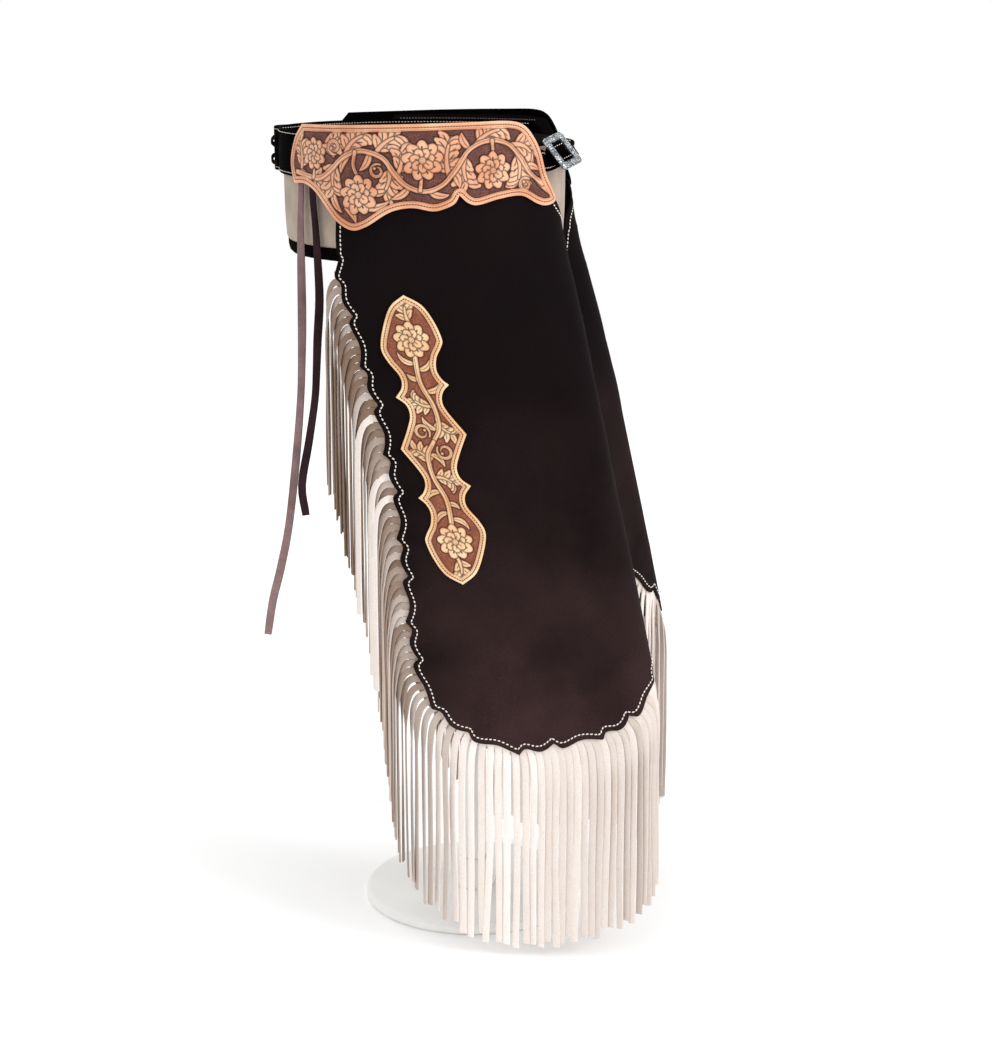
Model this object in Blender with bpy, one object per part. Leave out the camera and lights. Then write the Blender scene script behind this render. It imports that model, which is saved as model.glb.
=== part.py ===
"""Fringed leather chaps laced and buckled round a limbless hip form on a pole stand.

Metres, +Z up.  The wearer would face -Y, with the right leg on the -X side.  The origin is the
middle of the stand base's underside.

Each leather sheet is cut as a flat pattern with two coordinates:
  s  distance along the leather from the side line, positive towards the front
  z  height above the floor
and is then bent round the hip and the thigh by sheet_point(), so a pattern keeps its cut size.
"""

import math

import bmesh
import bpy
import numpy as np
from mathutils import Vector
from mathutils.geometry import delaunay_2d_cdt

# ------------------------------------------------------------------ driving dimensions
BELT_TOP_Z = 0.804
BELT_WIDTH = 0.043
KNEE_Z = 0.715             # below this the panels hang free of the form
HANG_Z = 0.500             # below this they keep one section
GAP = 0.0003

RING_SIDE = 0.1615         # half width of the hip line, at the inner face of the panels
RING_DEPTH = 0.1455        # half depth of the hip line
FRONT_TURN = math.radians(38)   # stiff leather leaves the hip line at this heading
HANG_SHARE = 0.22          # share of the hip's bend that is left in the hanging panel
LEAN = 0.20                # forward travel of the panel for each metre it hangs
LEAN_EASE = 0.02           # height over which that travel starts
# Where the panel folds round the front of the thigh: height, and distance from the side line.
FOLD_LINE = [(0.220, 0.166), (0.400, 0.164), (0.450, 0.163), (0.500, 0.162), (0.550, 0.164), (0.580, 0.167),
             (0.620, 0.1735), (0.660, 0.1795), (0.700, 0.182), (0.727, 0.1775), (0.745, 0.174)]
CURL = math.radians(112)   # how far the front of the panel rolls round the thigh
CURL_LENGTH = 0.085        # length of leather over which it rolls
CURL_LEAD = 0.6            # share of the roll that lies behind the fold line
ROLL_Z, ROLL_DROP = 0.775, 0.045   # where the roll starts, and how far down it is full

PANEL_THICK = 0.0020
YOKE_THICK = 0.0027
APPLIQUE_THICK = 0.0020
STRIP_THICK = 0.0016
STRIP_OFF = -0.0006        # front face of the fringe's strip, under the panel
BELT_THICK = 0.0034
YOKE_OFF = PANEL_THICK + GAP
BELT_OFF = -0.0008         # front face of the belt, under the panel

EDGE_MARGIN = 0.0055       # leather outside the stitch line
EDGE_STEP = 0.012          # points along the scalloped edge, and the least distance between them
EDGE_ROOM = 0.005
EDGE_LIMIT = 0.018         # longest straight piece of an outline
SCALLOP_PERIOD = 0.083
SCALLOP_LEAD = 0.020       # the first scallop starts this far before its outer point
NET_STEP_S, NET_STEP_Z = 0.015, 0.032   # spacing of the net under the sheets
NET_ROLL, NET_ROLL_STEP = (0.095, 0.205), 0.0095   # closer where the panel rolls round the thigh
NET_EDGE_ROOM = 0.0045

STRAP_WIDTH = 0.020
STRAP_THICK = 0.0028
UP = Vector((0.0, 0.0, 1.0))

MM = 0.001


# ------------------------------------------------------------------ how the leather is bent
def smooth(t):
    """Smooth step from 0 to 1."""
    t = np.clip(t, 0.0, 1.0)
    return t * t * (3.0 - 2.0 * t)


def hip_quarter(steps=400):
    """Distance along a quarter of the hip line and the heading there."""
    turn = np.linspace(0.0, math.pi / 2, steps)
    side = RING_SIDE * np.cos(turn)
    depth = RING_DEPTH * np.sin(turn)
    reach = np.concatenate([[0.0], np.cumsum(np.hypot(np.diff(side), np.diff(depth)))])
    return reach, np.arctan2(RING_SIDE * np.sin(turn), RING_DEPTH * np.cos(turn))


HIP_REACH, HIP_HEADING = hip_quarter()


def fold_place(z):
    """Distance from the side line to the fold at the front of the thigh."""
    heights, places = zip(*FOLD_LINE)
    return np.interp(z, heights, places)


def heading(s, z):
    """Angle that the leather has turned inwards, from straight ahead, at pattern point (s, z)."""
    back = -np.interp(-s, HIP_REACH, HIP_HEADING)
    hip = np.interp(s, HIP_REACH, HIP_HEADING)
    front = hip / (1.0 + (hip / FRONT_TURN) ** 4) ** 0.25
    hug = HANG_SHARE + (1.0 - HANG_SHARE) * smooth((z - HANG_Z) / (KNEE_Z - HANG_Z))
    rolled = smooth((ROLL_Z - z) / ROLL_DROP)
    curl = CURL * rolled * smooth((s - fold_place(z) + CURL_LEAD * CURL_LENGTH) / CURL_LENGTH)
    return np.where(s < 0.0, back, front) * hug + curl


def sheet_point(s, z, off=0.0, side=1):
    """World point of pattern point (s, z), moved out of the sheet by off; side -1 is the left leg."""
    steps = 120
    share = (np.arange(steps) + 0.5) / steps
    turned = heading(s * share, np.full(steps, z))
    drop = max(KNEE_Z - z, 0.0)
    ahead = LEAN * (math.hypot(drop, LEAN_EASE) - LEAN_EASE) + float(np.cos(turned).mean()) * s
    out = RING_SIDE - float(np.sin(turned).mean()) * s
    turn = float(heading(np.float64(s), np.float64(z)))
    out += off * math.cos(turn)
    ahead += off * math.sin(turn)
    return Vector((-side * out, -ahead, z))


def sheet_normal(s, z, side=1):
    """Outward direction of the sheet at (s, z)."""
    turn = float(heading(np.float64(s), np.float64(z)))
    return Vector((-side * math.cos(turn), -math.sin(turn), 0.0))


# ------------------------------------------------------------------ outlines in pattern millimetres
def spline(points, steps=4):
    """Smooth run through points, open, with its ends kept."""
    pts = [Vector(p) for p in points]
    run = []
    for i in range(len(pts) - 1):
        a = pts[i - 1] if i else pts[i] * 2 - pts[i + 1]
        d = pts[i + 2] if i + 2 < len(pts) else pts[i + 1] * 2 - pts[i]
        b, c = pts[i], pts[i + 1]
        for k in range(steps):
            t = k / steps
            run.append(0.5 * ((2 * b) + (c - a) * t + (2 * a - 5 * b + 4 * c - d) * t * t
                              + (3 * b - a - 3 * c + d) * t ** 3))
    run.append(pts[-1])
    return run


def joined_runs(runs, steps):
    """Closed outline from smooth runs that meet at corners; returns metres."""
    outline = []
    for run in runs:
        outline += spline(run, steps)[:-1]
    return [(p[0] * MM, p[1] * MM) for p in outline]


# Stitch line of the leg panel, back edge first and then round the hem, without its scallops (s, z).
PANEL_LINE = [(-61, 745), (-63.5, 700), (-68, 672), (-62.5, 637), (-57, 591), (-53.3, 550), (-51, 506),
              (-52, 465), (-55.5, 425), (-60, 382), (-65, 335), (-67.5, 300), (-66, 280), (-57.5, 260),
              (-44, 244), (-26, 231), (-5, 224), (15, 222), (45, 226), (80, 233), (114, 247), (140, 266),
              (160, 289), (178, 308), (200, 321), (216, 341), (223, 368), (225.5, 402)]
# Plain inner front edge, and the part that the yoke covers.
PANEL_FRONT = [(230, 440), (231, 520), (229, 570), (225.5, 610), (220, 640), (214, 660), (208, 676),
               (203, 687), (199, 698), (193.5, 707), (186, 716), (175, 725), (163, 733), (156, 739),
               (152, 744)]
PANEL_HIDDEN = [(144, 748), (135, 772), (127, 792), (116, 806), (90, 809), (-55, 808), (-64, 800),
                (-66.5, 745)]
# One repeat of the scalloped edge: distance along it and how far it stands out, in millimetres.
SCALLOP = [(0, 3.5), (7, -2.5), (20, 1.5), (36, -5.0), (43, 1.5), (63, -3.0), (83, 3.5)]
SCALLOP_START = 0.074      # distance along PANEL_LINE to the first outer point

# Yoke: runs that meet at corners (s, z).
YOKE_RUNS = [
    [(-108, 811.5), (-60, 812), (0, 813.5), (60, 815), (98, 815.5), (115, 811), (126, 799), (133, 785),
     (139, 765), (150, 744), (146, 738.5), (137, 737), (128, 739.5), (112, 747), (90, 745), (69, 740),
     (59, 742), (51, 749)],
    [(51, 749), (47, 742), (38.5, 737.5), (27, 735), (8.5, 738), (-11, 734), (-34, 720), (-49, 716.5),
     (-66, 725), (-80, 740), (-92, 751), (-106, 756.5), (-124, 756.0)],
    [(-124, 756.0), (-129.5, 776), (-121.5, 797), (-108, 811.5)],
]

# Applique: half of its outline from the middle, which the other half repeats turned half round.
APPLIQUE_MIDDLE = (-8.0, 520.6)
APPLIQUE_RUNS = [
    [(0, 137.7), (14.4, 128.7), (22.9, 113.9), (27.3, 97.0), (25.0, 89.5), (18.9, 79.5), (16.7, 68.3),
     (19.7, 59.9), (25.4, 54.3)],
    [(25.4, 54.3), (19.4, 48.6), (16.1, 40.1), (18.5, 29.7), (32.6, 7.7)],
    [(32.6, 7.7), (22.5, -11), (17.0, -24.4), (18.7, -34.5), (26.9, -41.4)],
    [(26.9, -41.4), (19.4, -51.1), (19.1, -61.7), (27.7, -75.1), (31.5, -87.7), (25.4, -107.1),
     (14.9, -126.3), (0, -137.7)],
]


def run_length(points):
    """Distance along a run of points to each of them."""
    steps = [(points[i + 1] - points[i]).length for i in range(len(points) - 1)]
    return np.concatenate([[0.0], np.cumsum(steps)])


class EdgeLine:
    """The panel's stitch line as a curve that can be asked for a place and an outward direction."""

    def __init__(self):
        self.points = [Vector((p[0] * MM, p[1] * MM)) for p in spline(PANEL_LINE, 6)]
        self.reach = run_length(self.points)
        self.length = float(self.reach[-1])

    def at(self, place):
        """Point and outward direction at a distance along the line."""
        place = min(max(place, 0.0), self.length)
        i = min(int(np.searchsorted(self.reach, place, side="right")) - 1, len(self.points) - 2)
        along = (place - self.reach[i]) / (self.reach[i + 1] - self.reach[i])
        point = self.points[i].lerp(self.points[i + 1], float(along))
        ahead = self.tangent(i, along)
        return point, Vector((ahead.y, -ahead.x))

    def tangent(self, i, along):
        """Direction of travel, blended between the line's points."""
        def at_point(k):
            a = self.points[max(k - 1, 0)]
            b = self.points[min(k + 1, len(self.points) - 1)]
            return (b - a).normalized()
        return at_point(i).lerp(at_point(i + 1), float(along)).normalized()

    def out(self, place, distance):
        """Pattern point at a distance outside the line."""
        point, away = self.at(place)
        return point + away * distance


def scallop(place):
    """How far the scalloped edge stands out of its plain line."""
    turn = ((place - SCALLOP_START) % SCALLOP_PERIOD) / MM
    where, height = zip(*SCALLOP)
    if place < SCALLOP_START - SCALLOP_LEAD:
        return 0.0
    return float(np.interp(turn, where, height)) * MM


def panel_outline(line):
    """Closed outline of the leg panel."""
    stations = set(np.arange(0.0, line.length, EDGE_STEP).round(5).tolist())
    start = SCALLOP_START
    while start < line.length:
        stations |= {round(start + row[0] * MM, 5) for row in SCALLOP[:-1]}
        start += SCALLOP_PERIOD
    kept = []
    for place in sorted(p for p in stations if p < line.length):
        if not kept or place - kept[-1] > EDGE_ROOM:
            kept.append(place)
    edge = [line.out(p, EDGE_MARGIN + scallop(p)) for p in kept]
    edge = [(p.x, p.y) for p in edge]
    rest = [(p[0] * MM, p[1] * MM) for p in spline(PANEL_FRONT, 2)]
    hidden = [(p[0] * MM, p[1] * MM) for p in PANEL_HIDDEN]
    return divided(edge + rest + hidden)


def divided(outline):
    """A closed outline with extra points wherever its edge runs straight for long."""
    whole = []
    for i, start in enumerate(outline):
        a, b = Vector(start), Vector(outline[(i + 1) % len(outline)])
        parts = max(1, math.ceil((b - a).length / EDGE_LIMIT - 0.1))
        whole += [tuple(a.lerp(b, k / parts)) for k in range(parts)]
    return whole


def applique_outline():
    """Closed outline of the tooled strip on the leg."""
    half = []
    for run in APPLIQUE_RUNS:
        half += spline(run, 2)[:-1]
    whole = half + [-p for p in half]
    middle = Vector(APPLIQUE_MIDDLE)
    return [((p + middle).x * MM, (p + middle).y * MM) for p in whole]


# ------------------------------------------------------------------ mesh helpers
MATERIALS = {}


def material(name, colour, roughness, metallic=0.0):
    """A plain material, made once."""
    if name not in MATERIALS:
        made = bpy.data.materials.new(name)
        made.use_nodes = True
        shader = made.node_tree.nodes["Principled BSDF"]
        shader.inputs["Base Color"].default_value = (*colour, 1.0)
        shader.inputs["Roughness"].default_value = roughness
        shader.inputs["Metallic"].default_value = metallic
        made.diffuse_color = (*colour, 1.0)
        MATERIALS[name] = made
    return MATERIALS[name]


def add_mesh(name, verts, faces, finish, sharp=35.0):
    """An object from points and faces, with its faces turned out."""
    mesh = bpy.data.meshes.new(name)
    mesh.from_pydata([tuple(v) for v in verts], [], faces)
    solid = bmesh.new()
    solid.from_mesh(mesh)
    bmesh.ops.recalc_face_normals(solid, faces=solid.faces)
    solid.to_mesh(mesh)
    solid.free()
    mesh.shade_smooth()
    mesh.set_sharp_from_angle(angle=math.radians(sharp))
    mesh.materials.append(finish)
    obj = bpy.data.objects.new(name, mesh)
    bpy.context.collection.objects.link(obj)
    return obj


def inside(outline, x, y):
    """Whether a point is inside an outline."""
    hit = False
    for i, (ax, ay) in enumerate(outline):
        bx, by = outline[i - 1]
        if (ay > y) != (by > y) and x < (bx - ax) * (y - ay) / (by - ay) + ax:
            hit = not hit
    return hit


def room(outline, x, y):
    """Distance from a point to the nearest edge of an outline."""
    a = np.array(outline)
    b = np.roll(a, -1, axis=0)
    p = np.array((x, y))
    run = b - a
    t = np.clip(((p - a) * run).sum(1) / (run * run).sum(1), 0.0, 1.0)
    return float(np.linalg.norm(a + run * t[:, None] - p, axis=1).min())


class Pattern:
    """One triangle net under all the sheets of a leg, so that sheets that lie on each other fit."""

    def __init__(self, outlines, kept, step_s, step_z):
        points, edges = [Vector(p) for p in kept], []
        fixed = np.array([tuple(p) for p in kept])
        for outline in outlines:
            start, count = len(points), len(outline)
            points += [Vector(p) for p in outline]
            edges += [(start + i, start + (i + 1) % count) for i in range(count)]
        every = np.array([tuple(p) for p in points])
        (s0, z0), (s1, z1) = every.min(axis=0), every.max(axis=0)
        for row, z in enumerate(np.arange(z0 + 0.5 * step_z, z1, step_z)):
            s = s0 + step_s * (0.25 + 0.5 * (row % 2)) - step_s
            while s < s1:
                in_roll = NET_ROLL[0] < s < NET_ROLL[1] and z < ROLL_Z
                s += NET_ROLL_STEP if in_roll else step_s
                if not any(inside(outline, s, z) for outline in outlines):
                    continue
                beside = float(np.hypot(fixed[:, 0] - s, fixed[:, 1] - z).min())
                if min(beside, *(room(outline, s, z) for outline in outlines)) > NET_EDGE_ROOM:
                    points.append(Vector((s, z)))
        self.points, _, self.faces, *_ = delaunay_2d_cdt(points, edges, [], 0, 1e-6)

    def cut(self, outline):
        """Points and triangles of the net that lie in an outline."""
        faces = []
        for face in self.faces:
            middle = sum((self.points[i] for i in face), Vector((0.0, 0.0))) / len(face)
            if inside(outline, middle.x, middle.y):
                faces.append(list(face))
        used = sorted({i for face in faces for i in face})
        place = {old: new for new, old in enumerate(used)}
        return [self.points[i] for i in used], [[place[i] for i in face] for face in faces]


def boundary_edges(faces):
    """Directed edges that only one face has."""
    seen = {}
    for face in faces:
        for i, a in enumerate(face):
            b = face[(i + 1) % len(face)]
            seen[(a, b)] = True
    return [(a, b) for a, b in seen if (b, a) not in seen]


def sheet_solid(name, pattern, outline, offs, side, finish):
    """A leather sheet of an outline, bent to the body, between two distances off its surface."""
    flat, faces = pattern.cut(outline)
    count = len(flat)
    verts = [sheet_point(p.x, p.y, offs[1], side) for p in flat]
    verts += [sheet_point(p.x, p.y, offs[0], side) for p in flat]
    walls = [list(f) for f in faces]
    walls += [[i + count for i in reversed(f)] for f in faces]
    walls += [[b, a, a + count, b + count] for a, b in boundary_edges(faces)]
    return add_mesh(name, verts, walls, finish)


def ring_loft(name, rings, finish, sharp=35.0):
    """A solid through closed rings of equal length, capped at both ends."""
    count = len(rings[0])
    verts = [v for ring in rings for v in ring]
    faces = []
    for r in range(len(rings) - 1):
        for i in range(count):
            j = (i + 1) % count
            faces.append([r * count + i, r * count + j, (r + 1) * count + j, (r + 1) * count + i])
    faces.append(list(reversed(range(count))))
    faces.append([(len(rings) - 1) * count + i for i in range(count)])
    return add_mesh(name, verts, faces, finish, sharp)


def strap_loft(name, frames, finish):
    """A flat strap through frames of centre, unit width direction, unit normal, width and thickness."""
    rings = []
    for centre, across, normal, width, thick in frames:
        w = across * (0.5 * width)
        n = normal * (0.5 * thick)
        rings.append([centre - w - n, centre + w - n, centre + w + n, centre - w + n])
    return ring_loft(name, rings, finish)


def tube_loft(name, rings, finish):
    """A solid through closed rings that also joins the last ring to the first."""
    count, total = len(rings[0]), len(rings)
    faces = []
    for r in range(total):
        for i in range(count):
            after, j = (r + 1) % total, (i + 1) % count
            faces.append([r * count + i, r * count + j, after * count + j, after * count + i])
    return add_mesh(name, [v for ring in rings for v in ring], faces, finish)


# ------------------------------------------------------------------ form and stand
FORM_BACK = 0.045          # the form's axis stands behind the pole, which is under the weight's middle
FORM_GAP = 0.0007          # between the form and the belt round it
FORM_SIDE = RING_SIDE + BELT_OFF - BELT_THICK - FORM_GAP
FORM_DEPTH = RING_DEPTH + BELT_OFF - BELT_THICK - FORM_GAP
FORM_FRONT_DEPTH = FORM_DEPTH - 0.0045   # the form's belly is flatter than its back
FORM_TOP_Z = 0.789
BAND_TOP_Z = 0.6965
FORM_LOW_Z = 0.684
POLE_RADIUS = 0.0125
BASE_RADIUS = 0.115
BASE_HEIGHT = 0.010
COLLAR_HEIGHT = 0.030
COLLAR_OUTER = POLE_RADIUS + 0.006

# Level rings of the form's three pieces: height, and how far inside the form's full oval.
BODY_RINGS = [(BAND_TOP_Z + GAP, 0.0035), (BAND_TOP_Z + 0.005, 0.0018), (0.743, 0.0002),
              (FORM_TOP_Z - 0.005, 0.0), (FORM_TOP_Z, 0.0030)]
BAND_RINGS = [(FORM_LOW_Z, 0.0080), (FORM_LOW_Z + 0.003, 0.0045), (BAND_TOP_Z, 0.0030)]
CAP_RINGS = [(FORM_TOP_Z + GAP, 0.0040), (FORM_TOP_Z + 0.003, 0.0060), (FORM_TOP_Z + 0.004, 0.0120)]
# Level rings of the stand's pieces: radius and height.
STAND_LOW = BASE_HEIGHT + GAP
BASE_RINGS = [(BASE_RADIUS - 0.002, 0.0), (BASE_RADIUS, 0.002), (BASE_RADIUS, BASE_HEIGHT - 0.003),
              (BASE_RADIUS - 0.004, BASE_HEIGHT)]
POLE_RINGS = [(POLE_RADIUS, STAND_LOW), (POLE_RADIUS, FORM_LOW_Z - GAP)]
COLLAR_TOP = STAND_LOW + COLLAR_HEIGHT
COLLAR_RINGS = [(POLE_RADIUS + GAP, STAND_LOW), (COLLAR_OUTER + 0.003, STAND_LOW),
                (COLLAR_OUTER, STAND_LOW + 0.006), (COLLAR_OUTER - 0.001, COLLAR_TOP),
                (POLE_RADIUS + GAP, COLLAR_TOP)]
FORM_SIDES, BASE_SIDES, POLE_SIDES = 56, 40, 24


def oval(z, inset):
    """A level ring of the hip form."""
    ring = []
    for i in range(FORM_SIDES):
        turn = 2.0 * math.pi * i / FORM_SIDES
        depth = FORM_DEPTH if math.sin(turn) > 0.0 else FORM_FRONT_DEPTH
        ring.append(Vector(((FORM_SIDE - inset) * math.cos(turn), (depth - inset) * math.sin(turn), z)))
    return ring


def disc(radius, z, count):
    """A level circle."""
    turns = [2.0 * math.pi * i / count for i in range(count)]
    return [Vector((radius * math.cos(t), radius * math.sin(t), z)) for t in turns]


def build_form():
    """Padded hip form, its dark lower band and its top cap."""
    cloth = material("form_cloth", (0.70, 0.66, 0.62), 0.85)
    dark = material("form_dark", (0.024, 0.022, 0.020), 0.8)
    ring_loft("form_body", [oval(*row) for row in BODY_RINGS], cloth)
    ring_loft("form_band", [oval(*row) for row in BAND_RINGS], dark)
    ring_loft("form_cap", [oval(*row) for row in CAP_RINGS], dark)


def build_stand():
    """Round base, pole and collar that carry the form."""
    steel = material("stand_steel", (0.75, 0.75, 0.74), 0.4, 0.2)
    ring_loft("stand_base", [disc(*row, BASE_SIDES) for row in BASE_RINGS], steel)
    ring_loft("stand_pole", [disc(*row, POLE_SIDES) for row in POLE_RINGS], steel)
    tube_loft("stand_collar", [disc(*row, POLE_SIDES) for row in COLLAR_RINGS], steel)


# ------------------------------------------------------------------ belt, strap and buckle
BELT_MIDDLE_Z = BELT_TOP_Z - 0.5 * BELT_WIDTH
BELT_LAYER = BELT_OFF - 0.5 * BELT_THICK
BELT_STEP = 0.0151
STRAP_Z = 0.778
TAPER = (0.098, 0.122)     # where the belt narrows to the strap
STRAP_LEAVES = 0.134       # where the strap leaves the yoke
BACK_GAP = 0.006           # between the laced ends
BACK_END = float(HIP_REACH[-1]) - 0.5 * BACK_GAP
FLARE = 0.008              # how far the laced end stands off
FLARE_LENGTH = 0.020

BUCKLE_CENTRE = Vector((-0.077, -0.1387, 0.7847))
BUCKLE_HEADING = math.radians(58)
BUCKLE_RISE = math.radians(14)
BUCKLE_ROLL = math.radians(-38)
FRAME_LONG = 0.036         # across the strap
FRAME_WIDE = 0.030         # along the strap
FRAME_THICK = 0.0030
FRAME_CORNER = 0.004
FRAME_BEVEL = 0.002
WINDOW_LONG = 0.0222
WINDOW_WIDE = 0.0160
WINDOW_CORNER = 0.001
BAR_RADIUS = 0.0012
BAR_DEPTH = -0.0066        # bar's centre behind the frame's back face
BAR_BEND = 0.002           # size of the bar's bent corners
BAR_SIDES = 8

WRAP_THICK = 0.0016        # strap where it folds round the bar
WRAP_LENGTH = 0.009        # how far the fold reaches back from the bar
STRAP_PASSES = Vector((-0.020, -0.1398, 0.7765))    # left strap's centre in front of the form
STRAP_PASSES_WAY = Vector((-1.0, -0.03, 0.0)).normalized()
STRAP_PASSES_UP = Vector((0.0, -0.10, 1.0)).normalized()
STRAP_REACH = (0.110, 0.030)   # how firmly the left strap keeps its way, up to there and from there on
# Left strap in the frame: place and share of width.
BILLET = [(0.0165, 1.0), (-0.0130, 1.0), (-0.0162, 0.55)]


def buckle_axes():
    """Directions along the strap, across it and out of the buckle's face."""
    level = Vector((math.sin(BUCKLE_HEADING), -math.cos(BUCKLE_HEADING), 0.0))
    along = level * math.cos(BUCKLE_RISE) + UP * math.sin(BUCKLE_RISE)
    across = UP * math.cos(BUCKLE_RISE) - level * math.sin(BUCKLE_RISE)
    face = along.cross(across)
    across_rolled = across * math.cos(BUCKLE_ROLL) + face * math.sin(BUCKLE_ROLL)
    return along, across_rolled, along.cross(across_rolled)


def flare(s):
    """How far the belt stands off the form near its laced end."""
    return FLARE * float(smooth((-BACK_END + FLARE_LENGTH - s) / FLARE_LENGTH))


def belt_frames(side):
    """Frames of one belt half, from its laced end at the back to where its strap leaves the yoke."""
    back = [-BACK_END + FLARE_LENGTH * share for share in (0.0, 0.3, 0.65, 1.0)]
    hip = list(np.arange(-0.204, TAPER[0], BELT_STEP))
    frames = []
    for s in back + hip + [TAPER[0], sum(TAPER) / 2, TAPER[1], STRAP_LEAVES]:
        narrow = float(smooth((s - TAPER[0]) / (TAPER[1] - TAPER[0])))
        centre = sheet_point(s, BELT_TOP_Z, BELT_LAYER + flare(s), side)
        centre.z = BELT_MIDDLE_Z + (STRAP_Z - BELT_MIDDLE_Z) * narrow
        width = BELT_WIDTH + (STRAP_WIDTH - BELT_WIDTH) * narrow
        frames.append((centre, UP, sheet_normal(s, BELT_TOP_Z, side), width, BELT_THICK))
    return frames


def blend_frames(start, end, reach, thicks):
    """Frames of a strap from one place, way and width direction to another, one for each thickness."""
    p0, d0, a0 = start
    p1, d1, a1 = end
    frames = []
    for k, thick in enumerate(thicks):
        t = (k + 1) / len(thicks)
        h00, h10 = 2 * t ** 3 - 3 * t ** 2 + 1, t ** 3 - 2 * t ** 2 + t
        h01, h11 = -2 * t ** 3 + 3 * t ** 2, t ** 3 - t ** 2
        centre = p0 * h00 + d0 * (reach * h10) + p1 * h01 + d1 * (reach * h11)
        ahead = (p0 * (6 * t * t - 6 * t) + d0 * (reach * (3 * t * t - 4 * t + 1))
                 + p1 * (6 * t - 6 * t * t) + d1 * (reach * (3 * t * t - 2 * t))).normalized()
        across = a0.lerp(a1, float(smooth(t)))
        across = (across - ahead * across.dot(ahead)).normalized()
        frames.append((centre, across, ahead.cross(across), STRAP_WIDTH, thick))
    return frames


def sheet_ahead(s, z, side):
    """Direction of travel along the sheet towards the front."""
    turn = float(heading(np.float64(s), np.float64(z)))
    return Vector((side * math.sin(turn), -math.cos(turn), 0.0))


def build_belt_right(leather):
    """Right belt half, which ends folded round the buckle's bar."""
    along, across, face = buckle_axes()
    turn = BAR_RADIUS + GAP + 0.5 * WRAP_THICK
    bar = BUCKLE_CENTRE + face * BAR_DEPTH
    frames = belt_frames(1)
    leave = (frames[-1][0], sheet_ahead(STRAP_LEAVES, BELT_TOP_Z, 1), UP)
    arrive = (bar - along * WRAP_LENGTH - face * turn, along, across)
    frames += blend_frames(leave, arrive, 0.026, np.linspace(BELT_THICK, WRAP_THICK, 6)[1:])
    for degrees in (0, 45, 90, 135, 180):
        a = math.radians(degrees)
        centre = bar + along * (turn * math.sin(a)) - face * (turn * math.cos(a))
        frames.append((centre, across, face * math.cos(a) - along * math.sin(a), STRAP_WIDTH, WRAP_THICK))
    frames.append((bar - along * WRAP_LENGTH + face * turn, across, -face, STRAP_WIDTH, WRAP_THICK))
    strap_loft("belt_right", frames, leather)


def build_belt_left(leather):
    """Left belt half, whose strap runs in front of the form and through the buckle."""
    along, across, face = buckle_axes()
    layer = BUCKLE_CENTRE - face * (GAP + 0.5 * STRAP_THICK)
    frames = belt_frames(-1)
    leave = (frames[-1][0], sheet_ahead(STRAP_LEAVES, BELT_TOP_Z, -1), UP)
    passes = (STRAP_PASSES, STRAP_PASSES_WAY, STRAP_PASSES_UP)
    places = [(layer + along * place, share * STRAP_WIDTH) for place, share in BILLET]
    strap = blend_frames(leave, passes, STRAP_REACH[0], [STRAP_THICK] * 6)
    strap += blend_frames(passes, (places[0][0], -along, across), STRAP_REACH[1], [STRAP_THICK] * 6)
    strap += [(centre, across, -face, width, STRAP_THICK) for centre, width in places[1:]]
    frames[-1] = (*frames[-1][:4], STRAP_THICK)
    frames += [(centre, wide, -normal, width, thick) for centre, wide, normal, width, thick in strap]
    strap_loft("belt_left", frames, leather)


def build_buckle():
    """Square frame with a bent bar behind it that the right strap folds round."""
    silver = material("buckle_silver", (0.62, 0.63, 0.64), 0.28, 1.0)
    along, across, face = buckle_axes()

    def ring(half_a, half_w, n, corner):
        pts = []
        for sa, sw in ((1, 1), (-1, 1), (-1, -1), (1, -1)):
            cut = [(half_a - corner, half_w), (half_a, half_w - corner)]
            if sa * sw > 0:
                cut.reverse()
            pts += [BUCKLE_CENTRE + along * (sa * a) + across * (sw * w) + face * n for a, w in cut]
        return pts

    half_a, half_w = 0.5 * FRAME_WIDE, 0.5 * FRAME_LONG
    window_a, window_w = 0.5 * WINDOW_WIDE, 0.5 * WINDOW_LONG
    rings = [ring(half_a, half_w, 0.0, FRAME_CORNER),
             ring(half_a, half_w, 0.6 * FRAME_THICK, FRAME_CORNER),
             ring(half_a - FRAME_BEVEL, half_w - FRAME_BEVEL, FRAME_THICK, FRAME_CORNER - 0.5 * FRAME_BEVEL),
             ring(window_a + 0.5 * FRAME_BEVEL, window_w + 0.5 * FRAME_BEVEL, FRAME_THICK, WINDOW_CORNER),
             ring(window_a, window_w, 0.7 * FRAME_THICK, WINDOW_CORNER),
             ring(window_a, window_w, 0.0, WINDOW_CORNER)]
    tube_loft("buckle_frame", rings, silver)

    reach = 0.5 * FRAME_LONG - 0.0035
    bend = 0.6 * BAR_BEND
    route = [(reach, -GAP), (reach, BAR_DEPTH + BAR_BEND), (reach - bend, BAR_DEPTH), (0.0, BAR_DEPTH),
             (bend - reach, BAR_DEPTH), (-reach, BAR_DEPTH + BAR_BEND), (-reach, -GAP)]
    points = [Vector(p) for p in route]
    rings = []
    for i, p in enumerate(points):
        travel = (points[min(i + 1, len(points) - 1)] - points[max(i - 1, 0)]).normalized()
        centre = BUCKLE_CENTRE + across * p.x + face * p.y
        out = face * travel.x - across * travel.y
        turns = [2.0 * math.pi * k / BAR_SIDES for k in range(BAR_SIDES)]
        rings.append([centre + (out * math.cos(t) + along * math.sin(t)) * BAR_RADIUS for t in turns])
    ring_loft("buckle_bar", rings, silver)


LACE_WIDTH = 0.0042
LACE_THICK = 0.0018
LACE_LIFT = 0.0013         # slack under the lace, and less where its ends are tucked down
LACE_TUCKED, LACE_TUCKED_LIFT = 0.015, 0.0007
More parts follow.
